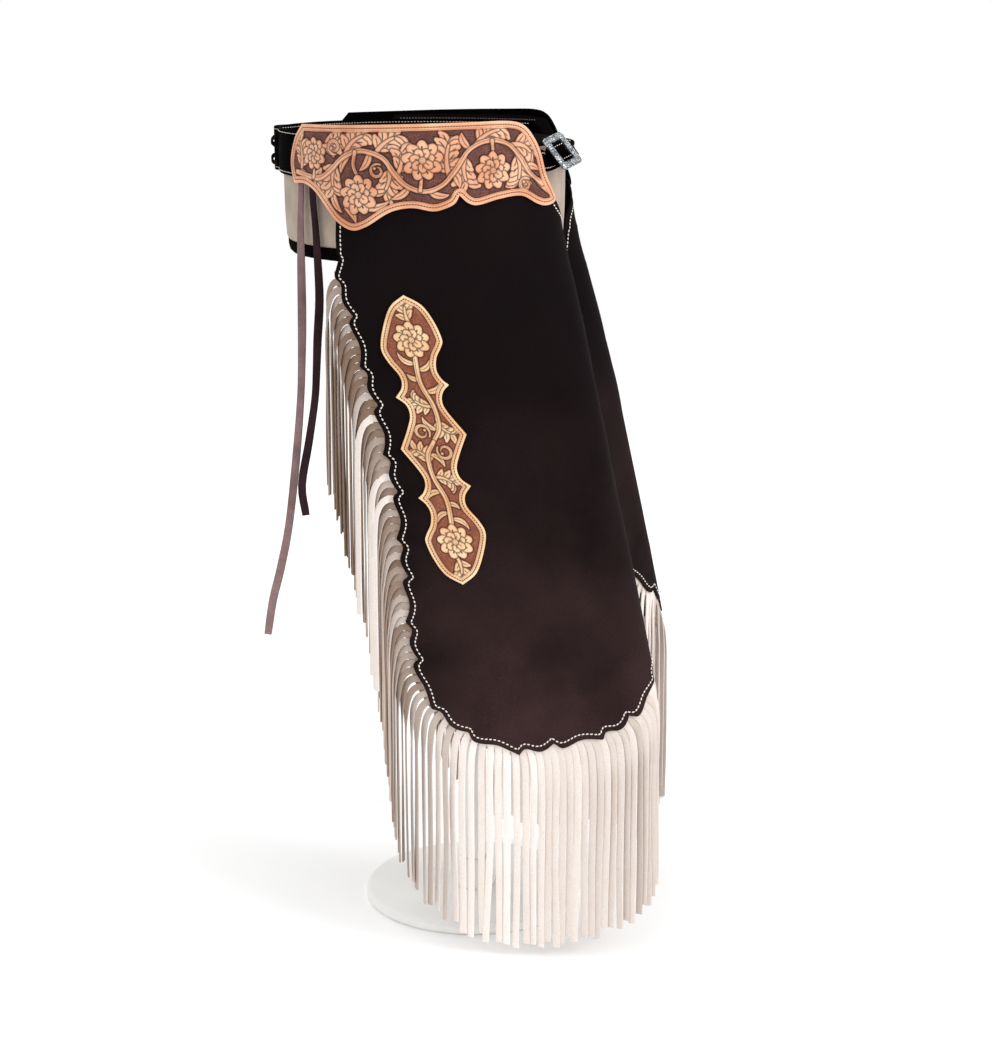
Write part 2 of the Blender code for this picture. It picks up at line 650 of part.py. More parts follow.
# The lace's route: belt half, distance in from its laced end, and height.
LACE_ROWS = [(1, 0.017, 0.796), (1, 0.008, 0.792), (1, 0.0, 0.789), (-1, 0.0, 0.786), (-1, 0.009, 0.781),
             (-1, 0.014, 0.7785), (-1, 0.009, 0.776), (-1, 0.0, 0.774), (1, 0.0, 0.771), (1, 0.008, 0.769),
             (1, 0.017, 0.768)]


def build_back_lace():
    """Flat lace that crosses the gap between the belt's back ends."""
    leather = material("lace_leather", (0.05, 0.03, 0.035), 0.7)
    centres = []
    for side, inset, z in LACE_ROWS:
        s = -BACK_END + inset
        lift = LACE_TUCKED_LIFT if inset > LACE_TUCKED else LACE_LIFT
        point = sheet_point(s, BELT_TOP_Z, BELT_OFF + GAP + 0.5 * LACE_THICK + flare(s) + lift, side)
        point.z = z
        centres.append((point, sheet_normal(s, BELT_TOP_Z, side)))
    frames = []
    for i, (point, normal) in enumerate(centres):
        before, after = centres[max(i - 1, 0)][0], centres[min(i + 1, len(centres) - 1)][0]
        across = normal.cross((after - before).normalized()).normalized()
        frames.append((point, across, normal, LACE_WIDTH, LACE_THICK))
    strap_loft("back_lace", frames, leather)


# ------------------------------------------------------------------ leather sheets
FIRST_ROOT = 0.078         # along the panel's stitch line, first strand
LAST_ROOT_INSET = 0.010    # from the line's end back to the last strand
ROOT_PITCH = 0.0105
STRIP_OUT = EDGE_MARGIN + 0.0080
STRIP_IN = -0.0060
STRIP_END = 0.008          # strip beyond its first and last strand
SEAM_STEP = 0.013          # net points along the strip's inner edge
STRAND_LENGTH = 0.200
STRAND_UNEVEN = (0.004, 0.002)   # how much the cut lengths vary
STRAND_THICK = 0.0016
SIDE_STRAND_WIDTH = 0.0050
HEM_STRAND_WIDTH = 0.0076
STRAND_SPREAD = (-0.0025, 0.0045)   # side strands hang in two layers, this far off the strip
DROOP = 0.013              # length over which a strand turns down
DROOP_SHARE = 0.4          # height that the turn costs a strand, as a share of DROOP for each radian
FLOOR_CLEAR = 0.0105
STRAND_BENDS = [0.011, 0.027, 0.075]   # sections between a strand's root and its end
MARCH = 0.001


def build_sheets(line, side, tag):
    """Panel, yoke and applique of one leg."""
    suede = material("chocolate_suede", (0.020, 0.011, 0.010), 0.95)
    tooled = material("tooled_leather", (0.55, 0.25, 0.13), 0.5)
    panel, applique = panel_outline(line), applique_outline()
    yoke = divided(joined_runs(YOKE_RUNS, 2))
    seam = [line.out(p, STRIP_IN) for p in np.arange(FIRST_ROOT, line.length, SEAM_STEP)]
    pattern = Pattern([panel, yoke, applique], seam, NET_STEP_S, NET_STEP_Z)
    sheet_solid("panel_" + tag, pattern, panel, (0.0, PANEL_THICK), side, suede)
    sheet_solid("yoke_" + tag, pattern, yoke, (YOKE_OFF, YOKE_OFF + YOKE_THICK), side, tooled)
    sheet_solid("applique_" + tag, pattern, applique, (YOKE_OFF, YOKE_OFF + APPLIQUE_THICK), side, tooled)


def strand_rings(line, place, width, number, side):
    """Sections of one hanging strand below its root, each of four points."""
    _, away = line.at(place)
    root = line.out(place, STRIP_OUT)
    middle = STRIP_OFF - 0.5 * STRIP_THICK
    centre = sheet_point(root.x, root.y, middle, side)
    normal = sheet_normal(root.x, root.y, side)
    beyond, beside = root + away * MARCH, root + Vector((-away.y, away.x)) * MARCH
    outward = (sheet_point(beyond.x, beyond.y, middle, side) - centre).normalized()
    edge_way = (sheet_point(beside.x, beside.y, middle, side) - centre).normalized()
    swing = math.acos(max(-1.0, min(1.0, -outward.z)))
    level = abs(math.sin(swing))
    spread = STRAND_SPREAD[number % 2] * level
    length = (STRAND_LENGTH + STRAND_UNEVEN[0] * math.sin(2.3 * number)
              + STRAND_UNEVEN[1] * math.sin(5.1 * number + 1.0))
    length = min(length, centre.z - FLOOR_CLEAR + DROOP_SHARE * DROOP * swing)
    level_out = Vector((outward.x, outward.y, 0.0))
    level_out = level_out.normalized() if level_out.length > 1e-6 else edge_way
    sign = 1.0 if normal.cross(outward).dot(edge_way) > 0.0 else -1.0

    def travel_at(reach):
        """Direction of travel at a distance from the root."""
        left = swing * math.exp(-reach / DROOP)
        return level_out * math.sin(left) - UP * math.cos(left)

    rings = []
    travelled = 0.0
    for target in STRAND_BENDS + [length]:
        while travelled < target - 1e-9:
            leap = min(MARCH, target - travelled)
            centre = centre + travel_at(travelled + 0.5 * leap) * leap
            travelled += leap
        turned = 1.0 - math.exp(-travelled / DROOP)
        flat = normal.cross(travel_at(travelled)).normalized() * sign
        twist = 0.5 * math.pi * turned * level
        wide = flat * math.cos(twist) + normal * math.sin(twist)
        thin = normal * math.cos(twist) - flat * math.sin(twist)
        here = centre + normal * (spread * turned)
        w, t = wide * (0.5 * width), thin * (0.5 * STRAND_THICK)
        rings.append([here - w - t, here - w + t, here + w + t, here + w - t])
    return rings


def build_fringe(line, side, tag):
    """Fringe of one leg: a narrow strip under the panel's edge, cut into hanging strands."""
    suede = material("cream_suede", (0.80, 0.72, 0.62), 0.9)
    last = line.length - LAST_ROOT_INSET
    count = int((last - FIRST_ROOT) / ROOT_PITCH) + 1
    roots = [FIRST_ROOT + ROOT_PITCH * k for k in range(count)]
    widths = []
    for place in roots:
        _, away = line.at(place)
        widths.append(HEM_STRAND_WIDTH + (SIDE_STRAND_WIDTH - HEM_STRAND_WIDTH) * abs(away.x))
    stations = [roots[0] - STRIP_END]
    for place, width in zip(roots, widths):
        stations += [place - 0.5 * width, place + 0.5 * width]
    stations.append(roots[-1] + STRIP_END)
    verts, faces = [], []
    for place in stations:
        for out in (STRIP_IN, STRIP_OUT):
            flat = line.out(place, out)
            for off in (STRIP_OFF - STRIP_THICK, STRIP_OFF):
                verts.append(sheet_point(flat.x, flat.y, off, side))
    # Each station has four points: inner edge back and front, then outer edge back and front.
    for i in range(len(stations) - 1):
        a, b = 4 * i, 4 * (i + 1)
        faces.append([a, b, b + 2, a + 2])
        faces.append([a + 1, a + 3, b + 3, b + 1])
        faces.append([a, a + 1, b + 1, b])
        if i % 2 == 0:
            faces.append([a + 2, b + 2, b + 3, a + 3])
    end = 4 * (len(stations) - 1)
    faces.append([0, 2, 3, 1])
    faces.append([end, end + 1, end + 3, end + 2])
    for k, (place, width) in enumerate(zip(roots, widths)):
        a, b = 4 * (2 * k + 1), 4 * (2 * k + 2)
        ring = [a + 2, a + 3, b + 3, b + 2]
        for points in strand_rings(line, place, width, k, side):
            start = len(verts)
            verts += points
            new = list(range(start, start + 4))
            faces += [[ring[j], ring[(j + 1) % 4], new[(j + 1) % 4], new[j]] for j in range(4)]
            ring = new
        faces.append(ring)
    return add_mesh("fringe_" + tag, verts, faces, suede)


# ------------------------------------------------------------------ hanging thongs
THONG_WIDTH = 0.0080
THONG_THICK = 0.0018
THONG_LAYER = 0.5 * THONG_THICK + 0.0001
THONG_TURN = 0.12          # height over which a hanging thong turns to face sideways
# Where each thong starts behind the yoke and leaves it (s, z), and how it then hangs: distance below the
# yoke's edge and how far back it has swung.
THONGS = {
    "thong_light": ((-0.1172, 0.796), 0.7526,
                    [(0.030, 0.0012), (0.060, 0.0015), (0.120, 0.0018), (0.165, 0.0030), (0.205, 0.0051),
                     (0.263, 0.0108), (0.328, 0.0192), (0.372, 0.0285), (0.405, 0.0371), (0.440, 0.0430)]),
    "thong_dark": ((-0.0985, 0.792), 0.7450,
                   [(0.030, -0.0022), (0.060, -0.0036), (0.097, -0.0046), (0.135, -0.0020), (0.165, -0.0004),
                    (0.193, 0.0017), (0.235, 0.0085), (0.277, 0.0161), (0.307, 0.0128)]),
}


def build_thongs():
    """The two thongs that hang from behind the yoke's back end."""
    colours = {"thong_light": (0.25, 0.16, 0.15), "thong_dark": (0.03, 0.012, 0.015)}
    for name, ((s, top), leaves, hang) in THONGS.items():
        start = sheet_point(s, leaves, THONG_LAYER)
        tucked = [start + Vector((0.0, 0.0, (top - leaves) * share)) for share in (1.0, 0.5, 0.0)]
        route = spline(tucked + [start + Vector((0.0, back, -down)) for down, back in hang], 3)
        side_normal = sheet_normal(s, leaves)
        frames = []
        for i, point in enumerate(route):
            ahead = (route[min(i + 1, len(route) - 1)] - route[max(i - 1, 0)]).normalized()
            turned = float(smooth((leaves - point.z) / THONG_TURN))
            normal = side_normal.lerp(Vector((-1.0, 0.0, 0.0)), turned).normalized()
            across = normal.cross(ahead).normalized()
            frames.append((point, across, ahead.cross(across), THONG_WIDTH, THONG_THICK))
        strap_loft(name, frames, material(name, colours[name], 0.7))


def hang_on_form(names_before):
    """Parent every piece made since then to an empty on the form's axis, which stands behind the pole."""
    axis = bpy.data.objects.new("form_axis", None)
    axis.location = (0.0, FORM_BACK, 0.0)
    bpy.context.collection.objects.link(axis)
    for obj in bpy.data.objects:
        if obj.type == "MESH" and obj.name not in names_before:
            obj.parent = axis


def main():
    """Clear the scene and build every piece."""
    for old in list(bpy.data.objects):
        bpy.data.objects.remove(old, do_unlink=True)
    build_stand()
    stand = {obj.name for obj in bpy.data.objects}
    build_form()
    leather = material("belt_leather", (0.012, 0.010, 0.012), 0.45)
    build_belt_right(leather)
    build_belt_left(leather)
    build_buckle()
    build_back_lace()
    line = EdgeLine()
    for side, tag in ((1, "right"), (-1, "left")):
        build_sheets(line, side, tag)
        build_fringe(line, side, tag)
    build_thongs()
    hang_on_form(stand)


main()
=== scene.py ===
"""Looks of short fringed chaps: suede legs, tooled yokes, laced and buckled round a hip form on a stand.

Metres, +Z up.  The wearer would face -Y, with the right leg on the -X side.  Each leather sheet is cut as
a flat pattern with two coordinates, and Drape bends it round the hip and the thigh:
    s  distance along the leather from the side line, positive towards the front
    z  height above the floor
Pattern tables are in millimetres.
"""

from __future__ import annotations

import logging
import math
from collections.abc import Callable
from dataclasses import dataclass, field
from enum import Enum
from functools import partial

import bmesh
import bpy
import numpy as np
from bpy.types import Material, Mesh, Node, NodeSocket, NodeTree, Object
from mathutils import Euler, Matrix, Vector
from mathutils.geometry import delaunay_2d_cdt

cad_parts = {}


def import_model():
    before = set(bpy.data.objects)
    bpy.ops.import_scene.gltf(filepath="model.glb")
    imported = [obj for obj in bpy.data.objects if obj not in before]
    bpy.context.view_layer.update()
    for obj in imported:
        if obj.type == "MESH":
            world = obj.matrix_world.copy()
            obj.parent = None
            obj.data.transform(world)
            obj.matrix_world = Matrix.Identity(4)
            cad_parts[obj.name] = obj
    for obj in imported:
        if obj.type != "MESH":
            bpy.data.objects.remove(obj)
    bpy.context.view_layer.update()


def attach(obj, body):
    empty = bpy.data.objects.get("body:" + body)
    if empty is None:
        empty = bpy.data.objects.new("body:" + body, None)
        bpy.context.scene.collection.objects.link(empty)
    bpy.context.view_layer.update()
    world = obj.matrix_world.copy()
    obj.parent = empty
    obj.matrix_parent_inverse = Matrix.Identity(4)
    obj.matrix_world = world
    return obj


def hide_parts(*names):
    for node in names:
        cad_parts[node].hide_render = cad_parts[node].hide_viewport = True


LOG = logging.getLogger("chaps")
ROOT = "root"
MM = 0.001
UP = Vector((0.0, 0.0, 1.0))


class Side(Enum):
    """The wearer's right or left leg; the value is the sign of the mirrored x."""

    RIGHT = 1
    LEFT = -1

    @property
    def tag(self) -> str:
        """The side's word in node names."""
        return self.name.lower()


# ---------------------------------------------------------------------------------------- small helpers
def linear(colour: str) -> tuple[float, float, float, float]:
    """Linear colour with full alpha from an sRGB hex value.

    Args:
        colour: Six hex digits.

    Returns:
        Red, green, blue and alpha for a shader socket.
    """
    parts = [int(colour[i:i + 2], 16) / 255.0 for i in (0, 2, 4)]
    red, green, blue = [c / 12.92 if c <= 0.04045 else ((c + 0.055) / 1.055) ** 2.4 for c in parts]
    return red, green, blue, 1.0


def add_node(tree: NodeTree, kind: str, inputs: dict | list | None = None, **settings) -> Node:
    """Adds a node with its settings and links.

    Args:
        tree: The node tree.
        kind: The node's type name.
        inputs: A list for the first sockets in order, or socket identifiers or numbers with their values. A
            value may be a socket, or a node for its first output in use; a colour may be a hex value.
        **settings: The node's own properties.

    Returns:
        The new node.
    """
    made = tree.nodes.new(kind)
    for name, value in settings.items():
        setattr(made, name, value)
    given = dict(enumerate(inputs)) if isinstance(inputs, list) else inputs or {}
    for key, value in given.items():
        socket = made.inputs[key] if isinstance(key, int) else next(
            s for s in made.inputs if s.identifier == key)
        if isinstance(value, Node):
            value = next(s for s in value.outputs if s.enabled)
        if isinstance(value, NodeSocket):
            tree.links.new(value, socket)
        else:
            coloured = socket.type == "RGBA" and isinstance(value, str)
            socket.default_value = linear(value) if coloured else value
    return made


def smooth(t: np.ndarray | float) -> np.ndarray:
    """Smooth step from 0 to 1."""
    t = np.clip(t, 0.0, 1.0)
    return t * t * (3.0 - 2.0 * t)


def spline(points: list[tuple[float, float]], steps: int = 8) -> np.ndarray:
    """Smooth open run through points.

    Args:
        points: The points to pass through, of any dimension.
        steps: New points for each span.

    Returns:
        The run, with its ends kept.
    """
    pts = np.array(points, float)
    padded = np.vstack([2 * pts[0] - pts[1], pts, 2 * pts[-1] - pts[-2]])
    run = []
    for a, b, c, d in zip(padded[:-3], padded[1:-2], padded[2:-1], padded[3:]):
        for t in np.arange(steps) / steps:
            run.append(0.5 * (2 * b + (c - a) * t + (2 * a - 5 * b + 4 * c - d) * t * t
                              + (3 * b - a - 3 * c + d) * t ** 3))
    run.append(pts[-1])
    return np.array(run)


def reach_of(run: np.ndarray) -> np.ndarray:
    """Distance along a run of points to each of them."""
    return np.concatenate([[0.0], np.cumsum(np.linalg.norm(np.diff(run, axis=0), axis=1))])


def respaced(run: np.ndarray, step: float, closed: bool = False) -> np.ndarray:
    """Points at even distances along a run.

    Args:
        run: The points of the run.
        step: Rough distance between new points.
        closed: Whether the run goes back to its first point.

    Returns:
        The new points; a closed run doesn't repeat its first one.
    """
    if closed:
        run = np.vstack([run, run[:1]])
    reach = reach_of(run)
    count = max(2, int(round(reach[-1] / step)))
    places = np.linspace(0.0, reach[-1], count + 1)
    new = sampled(places, reach, run)
    return new[:-1] if closed else new


def sampled(places: np.ndarray | float, reach: np.ndarray, run: np.ndarray) -> np.ndarray:
    """A run's points at places along its reach."""
    return np.stack([np.interp(places, reach, column) for column in run.T], axis=-1)


def unit(vectors: np.ndarray) -> np.ndarray:
    """Vectors made one long."""
    return vectors / np.maximum(np.linalg.norm(vectors, axis=-1, keepdims=True), 1e-12)


def leftward(path: np.ndarray) -> np.ndarray:
    """Directions to the left of a flat run's travel."""
    travel = unit(np.gradient(path, axis=0))
    return np.stack([-travel[:, 1], travel[:, 0]], axis=1)


def edge_room(outline: np.ndarray, points: np.ndarray) -> np.ndarray:
    """Distance from each point to a closed outline, negative outside it.

    Args:
        outline: The outline's points.
        points: The points to measure.

    Returns:
        One distance for each point.
    """
    best = np.full(len(points), np.inf)
    hit = np.zeros(len(points), bool)
    x, y = points[:, 0], points[:, 1]
    for (ax, ay), (bx, by) in zip(outline, np.roll(outline, -1, axis=0)):
        dx, dy = bx - ax, by - ay
        t = np.clip(((x - ax) * dx + (y - ay) * dy) / (dx * dx + dy * dy + 1e-18), 0.0, 1.0)
        best = np.minimum(best, (ax + t * dx - x) ** 2 + (ay + t * dy - y) ** 2)
        crosses = (ay > y) != (by > y)
        hit ^= crosses & (x < dx * (y - ay) / (dy if dy else 1e-18) + ax)
    return np.where(hit, np.sqrt(best), -np.sqrt(best))


# ---------------------------------------------------------------------------------------- finishes
NOISE, CELLS, RANGE, MIX = "ShaderNodeTexNoise", "ShaderNodeTexVoronoi", "ShaderNodeMapRange", "ShaderNodeMix"
MATH, SCALE, BUMP, MARK = "ShaderNodeMath", "ShaderNodeVectorMath", "ShaderNodeBump", "ShaderNodeAttribute"
AddNode = Callable[..., Node]


@dataclass(frozen=True)
class Finish:
    """A material that is made once; each kind adds its own patterns."""

    name: str

    def made(self) -> Material:
        """The Blender material, built on first use."""
        found = bpy.data.materials.get(self.name)
        if found:
            return found
        new = bpy.data.materials.new(self.name)
        new.use_nodes = True
        new.node_tree.nodes.clear()
        add = partial(add_node, new.node_tree)
        place = add("ShaderNodeTexCoord").outputs["Object"]
        shader = add("ShaderNodeBsdfPrincipled", self.dress(add, place))
        add("ShaderNodeOutputMaterial", [shader])
        return new

    def dress(self, add: AddNode, place: NodeSocket) -> dict:
        """Adds the patterns, whose sizes are in metres, and returns what the shader's sockets take."""
        raise NotImplementedError


@dataclass(frozen=True)
class Suede(Finish):
    """Split leather with a brushed nap: no gloss, soft sheen, blotches where the nap lies another way."""

    dark: str = "060304"
    mid: str = "0f090b"
    worn: str = "543c3b"
    sheen: float = 0.03
    patch: float = 0.16
    worn_low: tuple[float, float] = (0.57, 0.20)   # heights between which worn patches come in
    worn_most: float = 0.62
    nap: float = 0.0011                            # real nap is finer; drawn so that it shows

    def dress(self, add: AddNode, place: NodeSocket) -> dict:
        """Blotched browns under a short nap."""
        blotch = add(NOISE, {"Vector": place, "Scale": 1.0 / self.patch, "Detail": 4.0, "Roughness": 0.55})
        colour = add(MIX, {"Factor_Float": add(RANGE, [blotch, 0.28, 0.74]), "A_Color": self.dark,
                           "B_Color": self.mid}, data_type="RGBA")
        height = add("ShaderNodeSeparateXYZ", [place]).outputs["Z"]
        low = add(RANGE, [height, *self.worn_low, 0.04, self.worn_most])
        scuffs = add(NOISE, {"Vector": place, "Scale": 1.0 / (0.6 * self.patch), "Detail": 3.0})
        scuffed = add(MATH, [add(RANGE, [scuffs, 0.20, 0.80]), low], operation="MULTIPLY")
        colour = add(MIX, {"Factor_Float": scuffed, "A_Color": colour, "B_Color": self.worn},
                     data_type="RGBA")
        nap = add(NOISE, {"Vector": place, "Scale": 1.0 / self.nap, "Detail": 2.0, "Roughness": 0.7})
        shade = add(RANGE, [nap, 0.3, 0.7, 0.72, 1.15])
        return {"Base Color": add(SCALE, {"Vector": colour, "Scale": shade}, operation="SCALE"),
                "Normal": add(BUMP, {"Height": nap, "Distance": 0.0004, "Strength": 0.6}),
                "Roughness": 0.95, "Specular IOR Level": 0.08,
                "Sheen Weight": self.sheen, "Sheen Roughness": 0.55, "Sheen Tint": self.worn}


@dataclass(frozen=True)
class StrandSuede(Finish):
    """Cream split suede of the fringe: fibrous flat faces, with painted shade mixed in by each strand's tone
    mark.
    """

    pale: str = "f8f0eb"
    warm: str = "f3e7de"
    # painted shade: the brown that the tone mark mixes in, for strands that stand edge-on and in the strip's
    # grooves
    shaded: str = "7c6049"

    def dress(self, add: AddNode, place: NodeSocket) -> dict:
        """Pale suede, turned towards the painted shade colour by the strand's own tone mark."""
        along = add("ShaderNodeMapping", {"Vector": place, "Scale": (1.0, 1.0, 0.22)})
        streaks = add(NOISE, {"Vector": along, "Scale": 1.0 / 0.007, "Detail": 4.0, "Roughness": 0.6})
        colour = add(MIX, {"Factor_Float": add(RANGE, [streaks, 0.3, 0.7]), "A_Color": self.pale,
                           "B_Color": self.warm}, data_type="RGBA")
        # the tone mark is painted shade, with a random tone for each strand on top
        tone = add(MARK, attribute_name="tone").outputs["Fac"]
        colour = add(MIX, {"Factor_Float": tone, "A_Color": colour, "B_Color": self.shaded}, data_type="RGBA")
        fibre = add(NOISE, {"Vector": place, "Scale": 1.0 / 0.0013, "Detail": 2.0, "Roughness": 0.7})
        shade = add(RANGE, [fibre, 0.3, 0.7, 0.9, 1.06])
        return {"Base Color": add(SCALE, {"Vector": colour, "Scale": shade}, operation="SCALE"),
                "Normal": add(BUMP, {"Height": fibre, "Distance": 0.0003, "Strength": 0.6}),
                "Roughness": 0.92, "Specular IOR Level": 0.2, "Sheen Weight": 0.25, "Sheen Roughness": 0.5}


@dataclass(frozen=True)
class TooledLeather(Finish):
    """Vegetable-tanned leather: raised work left natural and polished, ground matted and dyed with painted
    highlights on its matting, cuts dark.
    """

    natural: str = "e9b592"
    tanned: str = "d5936d"
    burnt: str = "a8592f"
    ground: str = "46201a"
    # painted highlight colour on the tops of the matted ground
    ground_painted_highlight: str = "784538"
    cut: str = "1c0a0b"

    def dress(self, add: AddNode, place: NodeSocket) -> dict:
        """Colours from the marks that the carving leaves on the mesh."""
        raised, dark, burnish = (add(MARK, attribute_name=name).outputs["Fac"]
                                 for name in ("raised", "dark", "burnish"))
        tones = add(NOISE, {"Vector": place, "Scale": 1.0 / 0.028, "Detail": 3.0})
        pits = add(RANGE, [add(CELLS, {"Vector": place, "Scale": 1.0 / 0.0016}), 0.15, 0.65])
        patches = add(NOISE, {"Vector": place, "Scale": 1.0 / 0.009, "Detail": 3.0})
        # painted highlights: the ground is lighter on the tops between its pits, in patches
        lights = add(MATH, [pits, add(RANGE, [patches, 0.3, 0.7, 0.25, 0.95])], operation="MULTIPLY")
        work, matted = (
            add(MIX, {"Factor_Float": share, "A_Color": first, "B_Color": second}, data_type="RGBA")
            for share, first, second in ((add(RANGE, [tones, 0.35, 0.65]), self.natural, self.tanned),
                                         (lights, self.ground, self.ground_painted_highlight)))
        work = add(MIX, {"Factor_Float": burnish, "A_Color": work, "B_Color": self.burnt}, data_type="RGBA")
        colour = add(MIX, {"Factor_Float": raised, "A_Color": matted, "B_Color": work}, data_type="RGBA")
        colour = add(MIX, {"Factor_Float": dark, "A_Color": colour, "B_Color": self.cut}, data_type="RGBA")
        grain = add(NOISE, {"Vector": place, "Scale": 1.0 / 0.0012, "Detail": 2.0, "Roughness": 0.6})
        stamped = add(MATH, [pits, add(RANGE, [raised, 0.0, 1.0, 1.0, 0.0])], operation="MULTIPLY")
        height = add(MATH, [grain, 0.15, stamped], operation="MULTIPLY_ADD")
        return {"Base Color": colour, "Roughness": add(RANGE, [raised, 0.0, 1.0, 0.62, 0.40]),
                "Normal": add(BUMP, {"Height": height, "Distance": 0.0004, "Strength": 0.8}),
                "Specular IOR Level": 0.42}


@dataclass(frozen=True)
class StrapLeather(Finish):
    """Dyed strap leather with a tight grain under a wax finish."""

    colour: str = "040304"
    worn: str = "120d10"
    roughness: float = 0.80
    gloss: float = 0.04
    grain: float = 0.0012

    def dress(self, add: AddNode, place: NodeSocket) -> dict:
        """Grain cells, and a little wear in patches."""
        patches = add(NOISE, {"Vector": place, "Scale": 1.0 / 0.020, "Detail": 5.0, "Roughness": 0.6})
        wear = add(RANGE, [patches, 0.5, 0.8, 0.0, 0.6])
        cells = add(CELLS, {"Vector": place, "Scale": 1.0 / self.grain}, feature="SMOOTH_F1")
        return {"Base Color": add(MIX, {"Factor_Float": wear, "A_Color": self.colour, "B_Color": self.worn},
                                  data_type="RGBA"),
                "Roughness": add(RANGE, [wear, 0.0, 0.6, self.roughness, self.roughness + 0.2]),
                "Normal": add(BUMP, {"Height": cells, "Distance": 0.0002, "Strength": 0.5}),
                "IOR": 1.15, "Specular IOR Level": self.gloss}


@dataclass(frozen=True)
class Thread(Finish):
    """Bonded sewing thread: two plies laid round each other, waxed."""

    colour: str = "fbf6ee"
    shade: str = "d4c8b8"

    def dress(self, add: AddNode, place: NodeSocket) -> dict:
        """Fine light and dark fibres."""
        fibres = add(RANGE, [add(NOISE, {"Vector": place, "Scale": 1.0 / 0.0007, "Detail": 2.0}), 0.35, 0.65])
        return {"Base Color": add(MIX, {"Factor_Float": fibres, "A_Color": self.colour,
                                        "B_Color": self.shade}, data_type="RGBA"),
                "Roughness": 0.6, "Sheen Weight": 0.1}


@dataclass(frozen=True)
class EngravedSilver(Finish):
    """Cast nickel silver, engraved and then darkened in its cuts."""

    bright: str = "e6e9ec"
    tarnish: str = "39434a"

    def dress(self, add: AddNode, place: NodeSocket) -> dict:
        """Cells of chiselled marks over polished metal."""
        cells = add(CELLS, {"Vector": place, "Scale": 1.0 / 0.0024}, feature="DISTANCE_TO_EDGE")
        flats = add(RANGE, [cells, 0.02, 0.16])
        spots = add(NOISE, {"Vector": place, "Scale": 1.0 / 0.0035, "Detail": 3.0})
        shown = add(MATH, [flats, add(RANGE, [spots, 0.4, 0.62, 0.35, 1.0])], operation="MULTIPLY")
        return {"Base Color": add(MIX, {"Factor_Float": shown, "A_Color": self.tarnish,
                                        "B_Color": self.bright}, data_type="RGBA"),
                "Roughness": add(RANGE, [shown, 0.0, 1.0, 0.5, 0.2]),
                "Normal": add(BUMP, {"Height": flats, "Distance": 0.0003, "Strength": 0.7}), "Metallic": 1.0}


@dataclass(frozen=True)
class WovenCover(Finish):
    """Plain-woven cotton cover of the hip form, stretched smooth."""

    colour: str = "b0a092"
    shade: str = "87776b"
    thread: float = 0.0011      # finer in fact; drawn so that it shows
    sheen: float = 0.06
    ior: float = 1.35

    def dress(self, add: AddNode, place: NodeSocket) -> dict:
        """Warp and weft as two sets of bands round the form and down it."""
        bands = [add("ShaderNodeTexWave", {"Vector": place, "Scale": 1.0 / (self.thread * 6.3),
                                           "Distortion": 0.6, "Detail": 1.0},
                     bands_direction=axis).outputs["Fac"] for axis in ("Z", "X", "Y")]
        weave = add(MATH, [add(MATH, bands[:2], operation="ADD"), bands[2]], operation="ADD")
        patches = add(NOISE, {"Vector": place, "Scale": 1.0 / 0.045, "Detail": 4.0})
        colour = add(MIX, {"Factor_Float": add(RANGE, [patches, 0.4, 0.75, 0.0, 0.8]), "A_Color": self.colour,
                           "B_Color": self.shade}, data_type="RGBA")
        shade = add(RANGE, [weave, 0.0, 3.0, 0.9, 1.05])
        return {"Base Color": add(SCALE, {"Vector": colour, "Scale": shade}, operation="SCALE"),
                "Normal": add(BUMP, {"Height": weave, "Distance": 0.00015, "Strength": 0.5}),
                "Roughness": 0.9, "Sheen Weight": self.sheen, "IOR": self.ior, "Specular IOR Level": 0.15}


@dataclass(frozen=True)
class PowderCoat(Finish):
    """Steel under an off-white powder coat, with the coat's fine orange peel."""

    colour: str = "f1f0ee"
    shade: str = "e9e8e5"

    def dress(self, add: AddNode, place: NodeSocket) -> dict:
        """Low ripple and a faint mottle."""
        peel, mottle, tone = (add(NOISE, {"Vector": place, "Scale": 1.0 / size, "Detail": detail})
                              for size, detail in ((0.0028, 2.0), (0.06, 2.0), (0.09, 3.0)))
        return {"Base Color": add(MIX, {"Factor_Float": add(RANGE, [tone, 0.3, 0.7]), "A_Color": self.colour,
                                        "B_Color": self.shade}, data_type="RGBA"),
                "Roughness": add(RANGE, [mottle, 0.3, 0.7, 0.40, 0.52]),
                "Normal": add(BUMP, {"Height": peel, "Distance": 0.00006, "Strength": 0.5}),
                "Specular IOR Level": 0.45}


@dataclass(frozen=True)
class PalePaper(Finish):
    """Pale studio floor."""

    colour: str = "ffffff"

    def dress(self, add: AddNode, place: NodeSocket) -> dict:
        """Plain and matt."""
        return {"Base Color": self.colour, "Roughness": 0.9, "Specular IOR Level": 0.1}


CHOCOLATE_SUEDE = Suede("chocolate suede, brushed")
CREAM_SUEDE = StrandSuede("cream split suede")
YOKE_LEATHER = TooledLeather("vegetable-tanned leather, carved")
APPLIQUE_LEATHER = TooledLeather("vegetable-tanned leather, pale and russet", natural="f6d6ab",
                                 tanned="e4b482", burnt="a86238", ground="70351f", ground_painted_highlight="9c5a3c",
                                 cut="3a1a14")
LINING_LEATHER = StrapLeather("black lining leather", colour="050405", worn="0e0a0c", roughness=0.8,
                              gloss=0.08)
BELT_LEATHER = StrapLeather("black strap leather, waxed")
LACE_LEATHER = StrapLeather("dark brown lace leather", colour="120b0c", worn="2a1c1d", roughness=0.65)
LIGHT_THONG = Suede("mauve-brown thong leather", dark="6a5052", mid="886e6e", worn="ad9490", sheen=0.10,
                    patch=0.03, worn_low=(0.9, 0.3), worn_most=0.7)
DARK_THONG = Suede("dark brown thong leather", dark="1a0e12", mid="2f1d22", worn="4d3a3d", sheen=0.12,
                   patch=0.03, worn_low=(0.9, 0.3), worn_most=0.5)
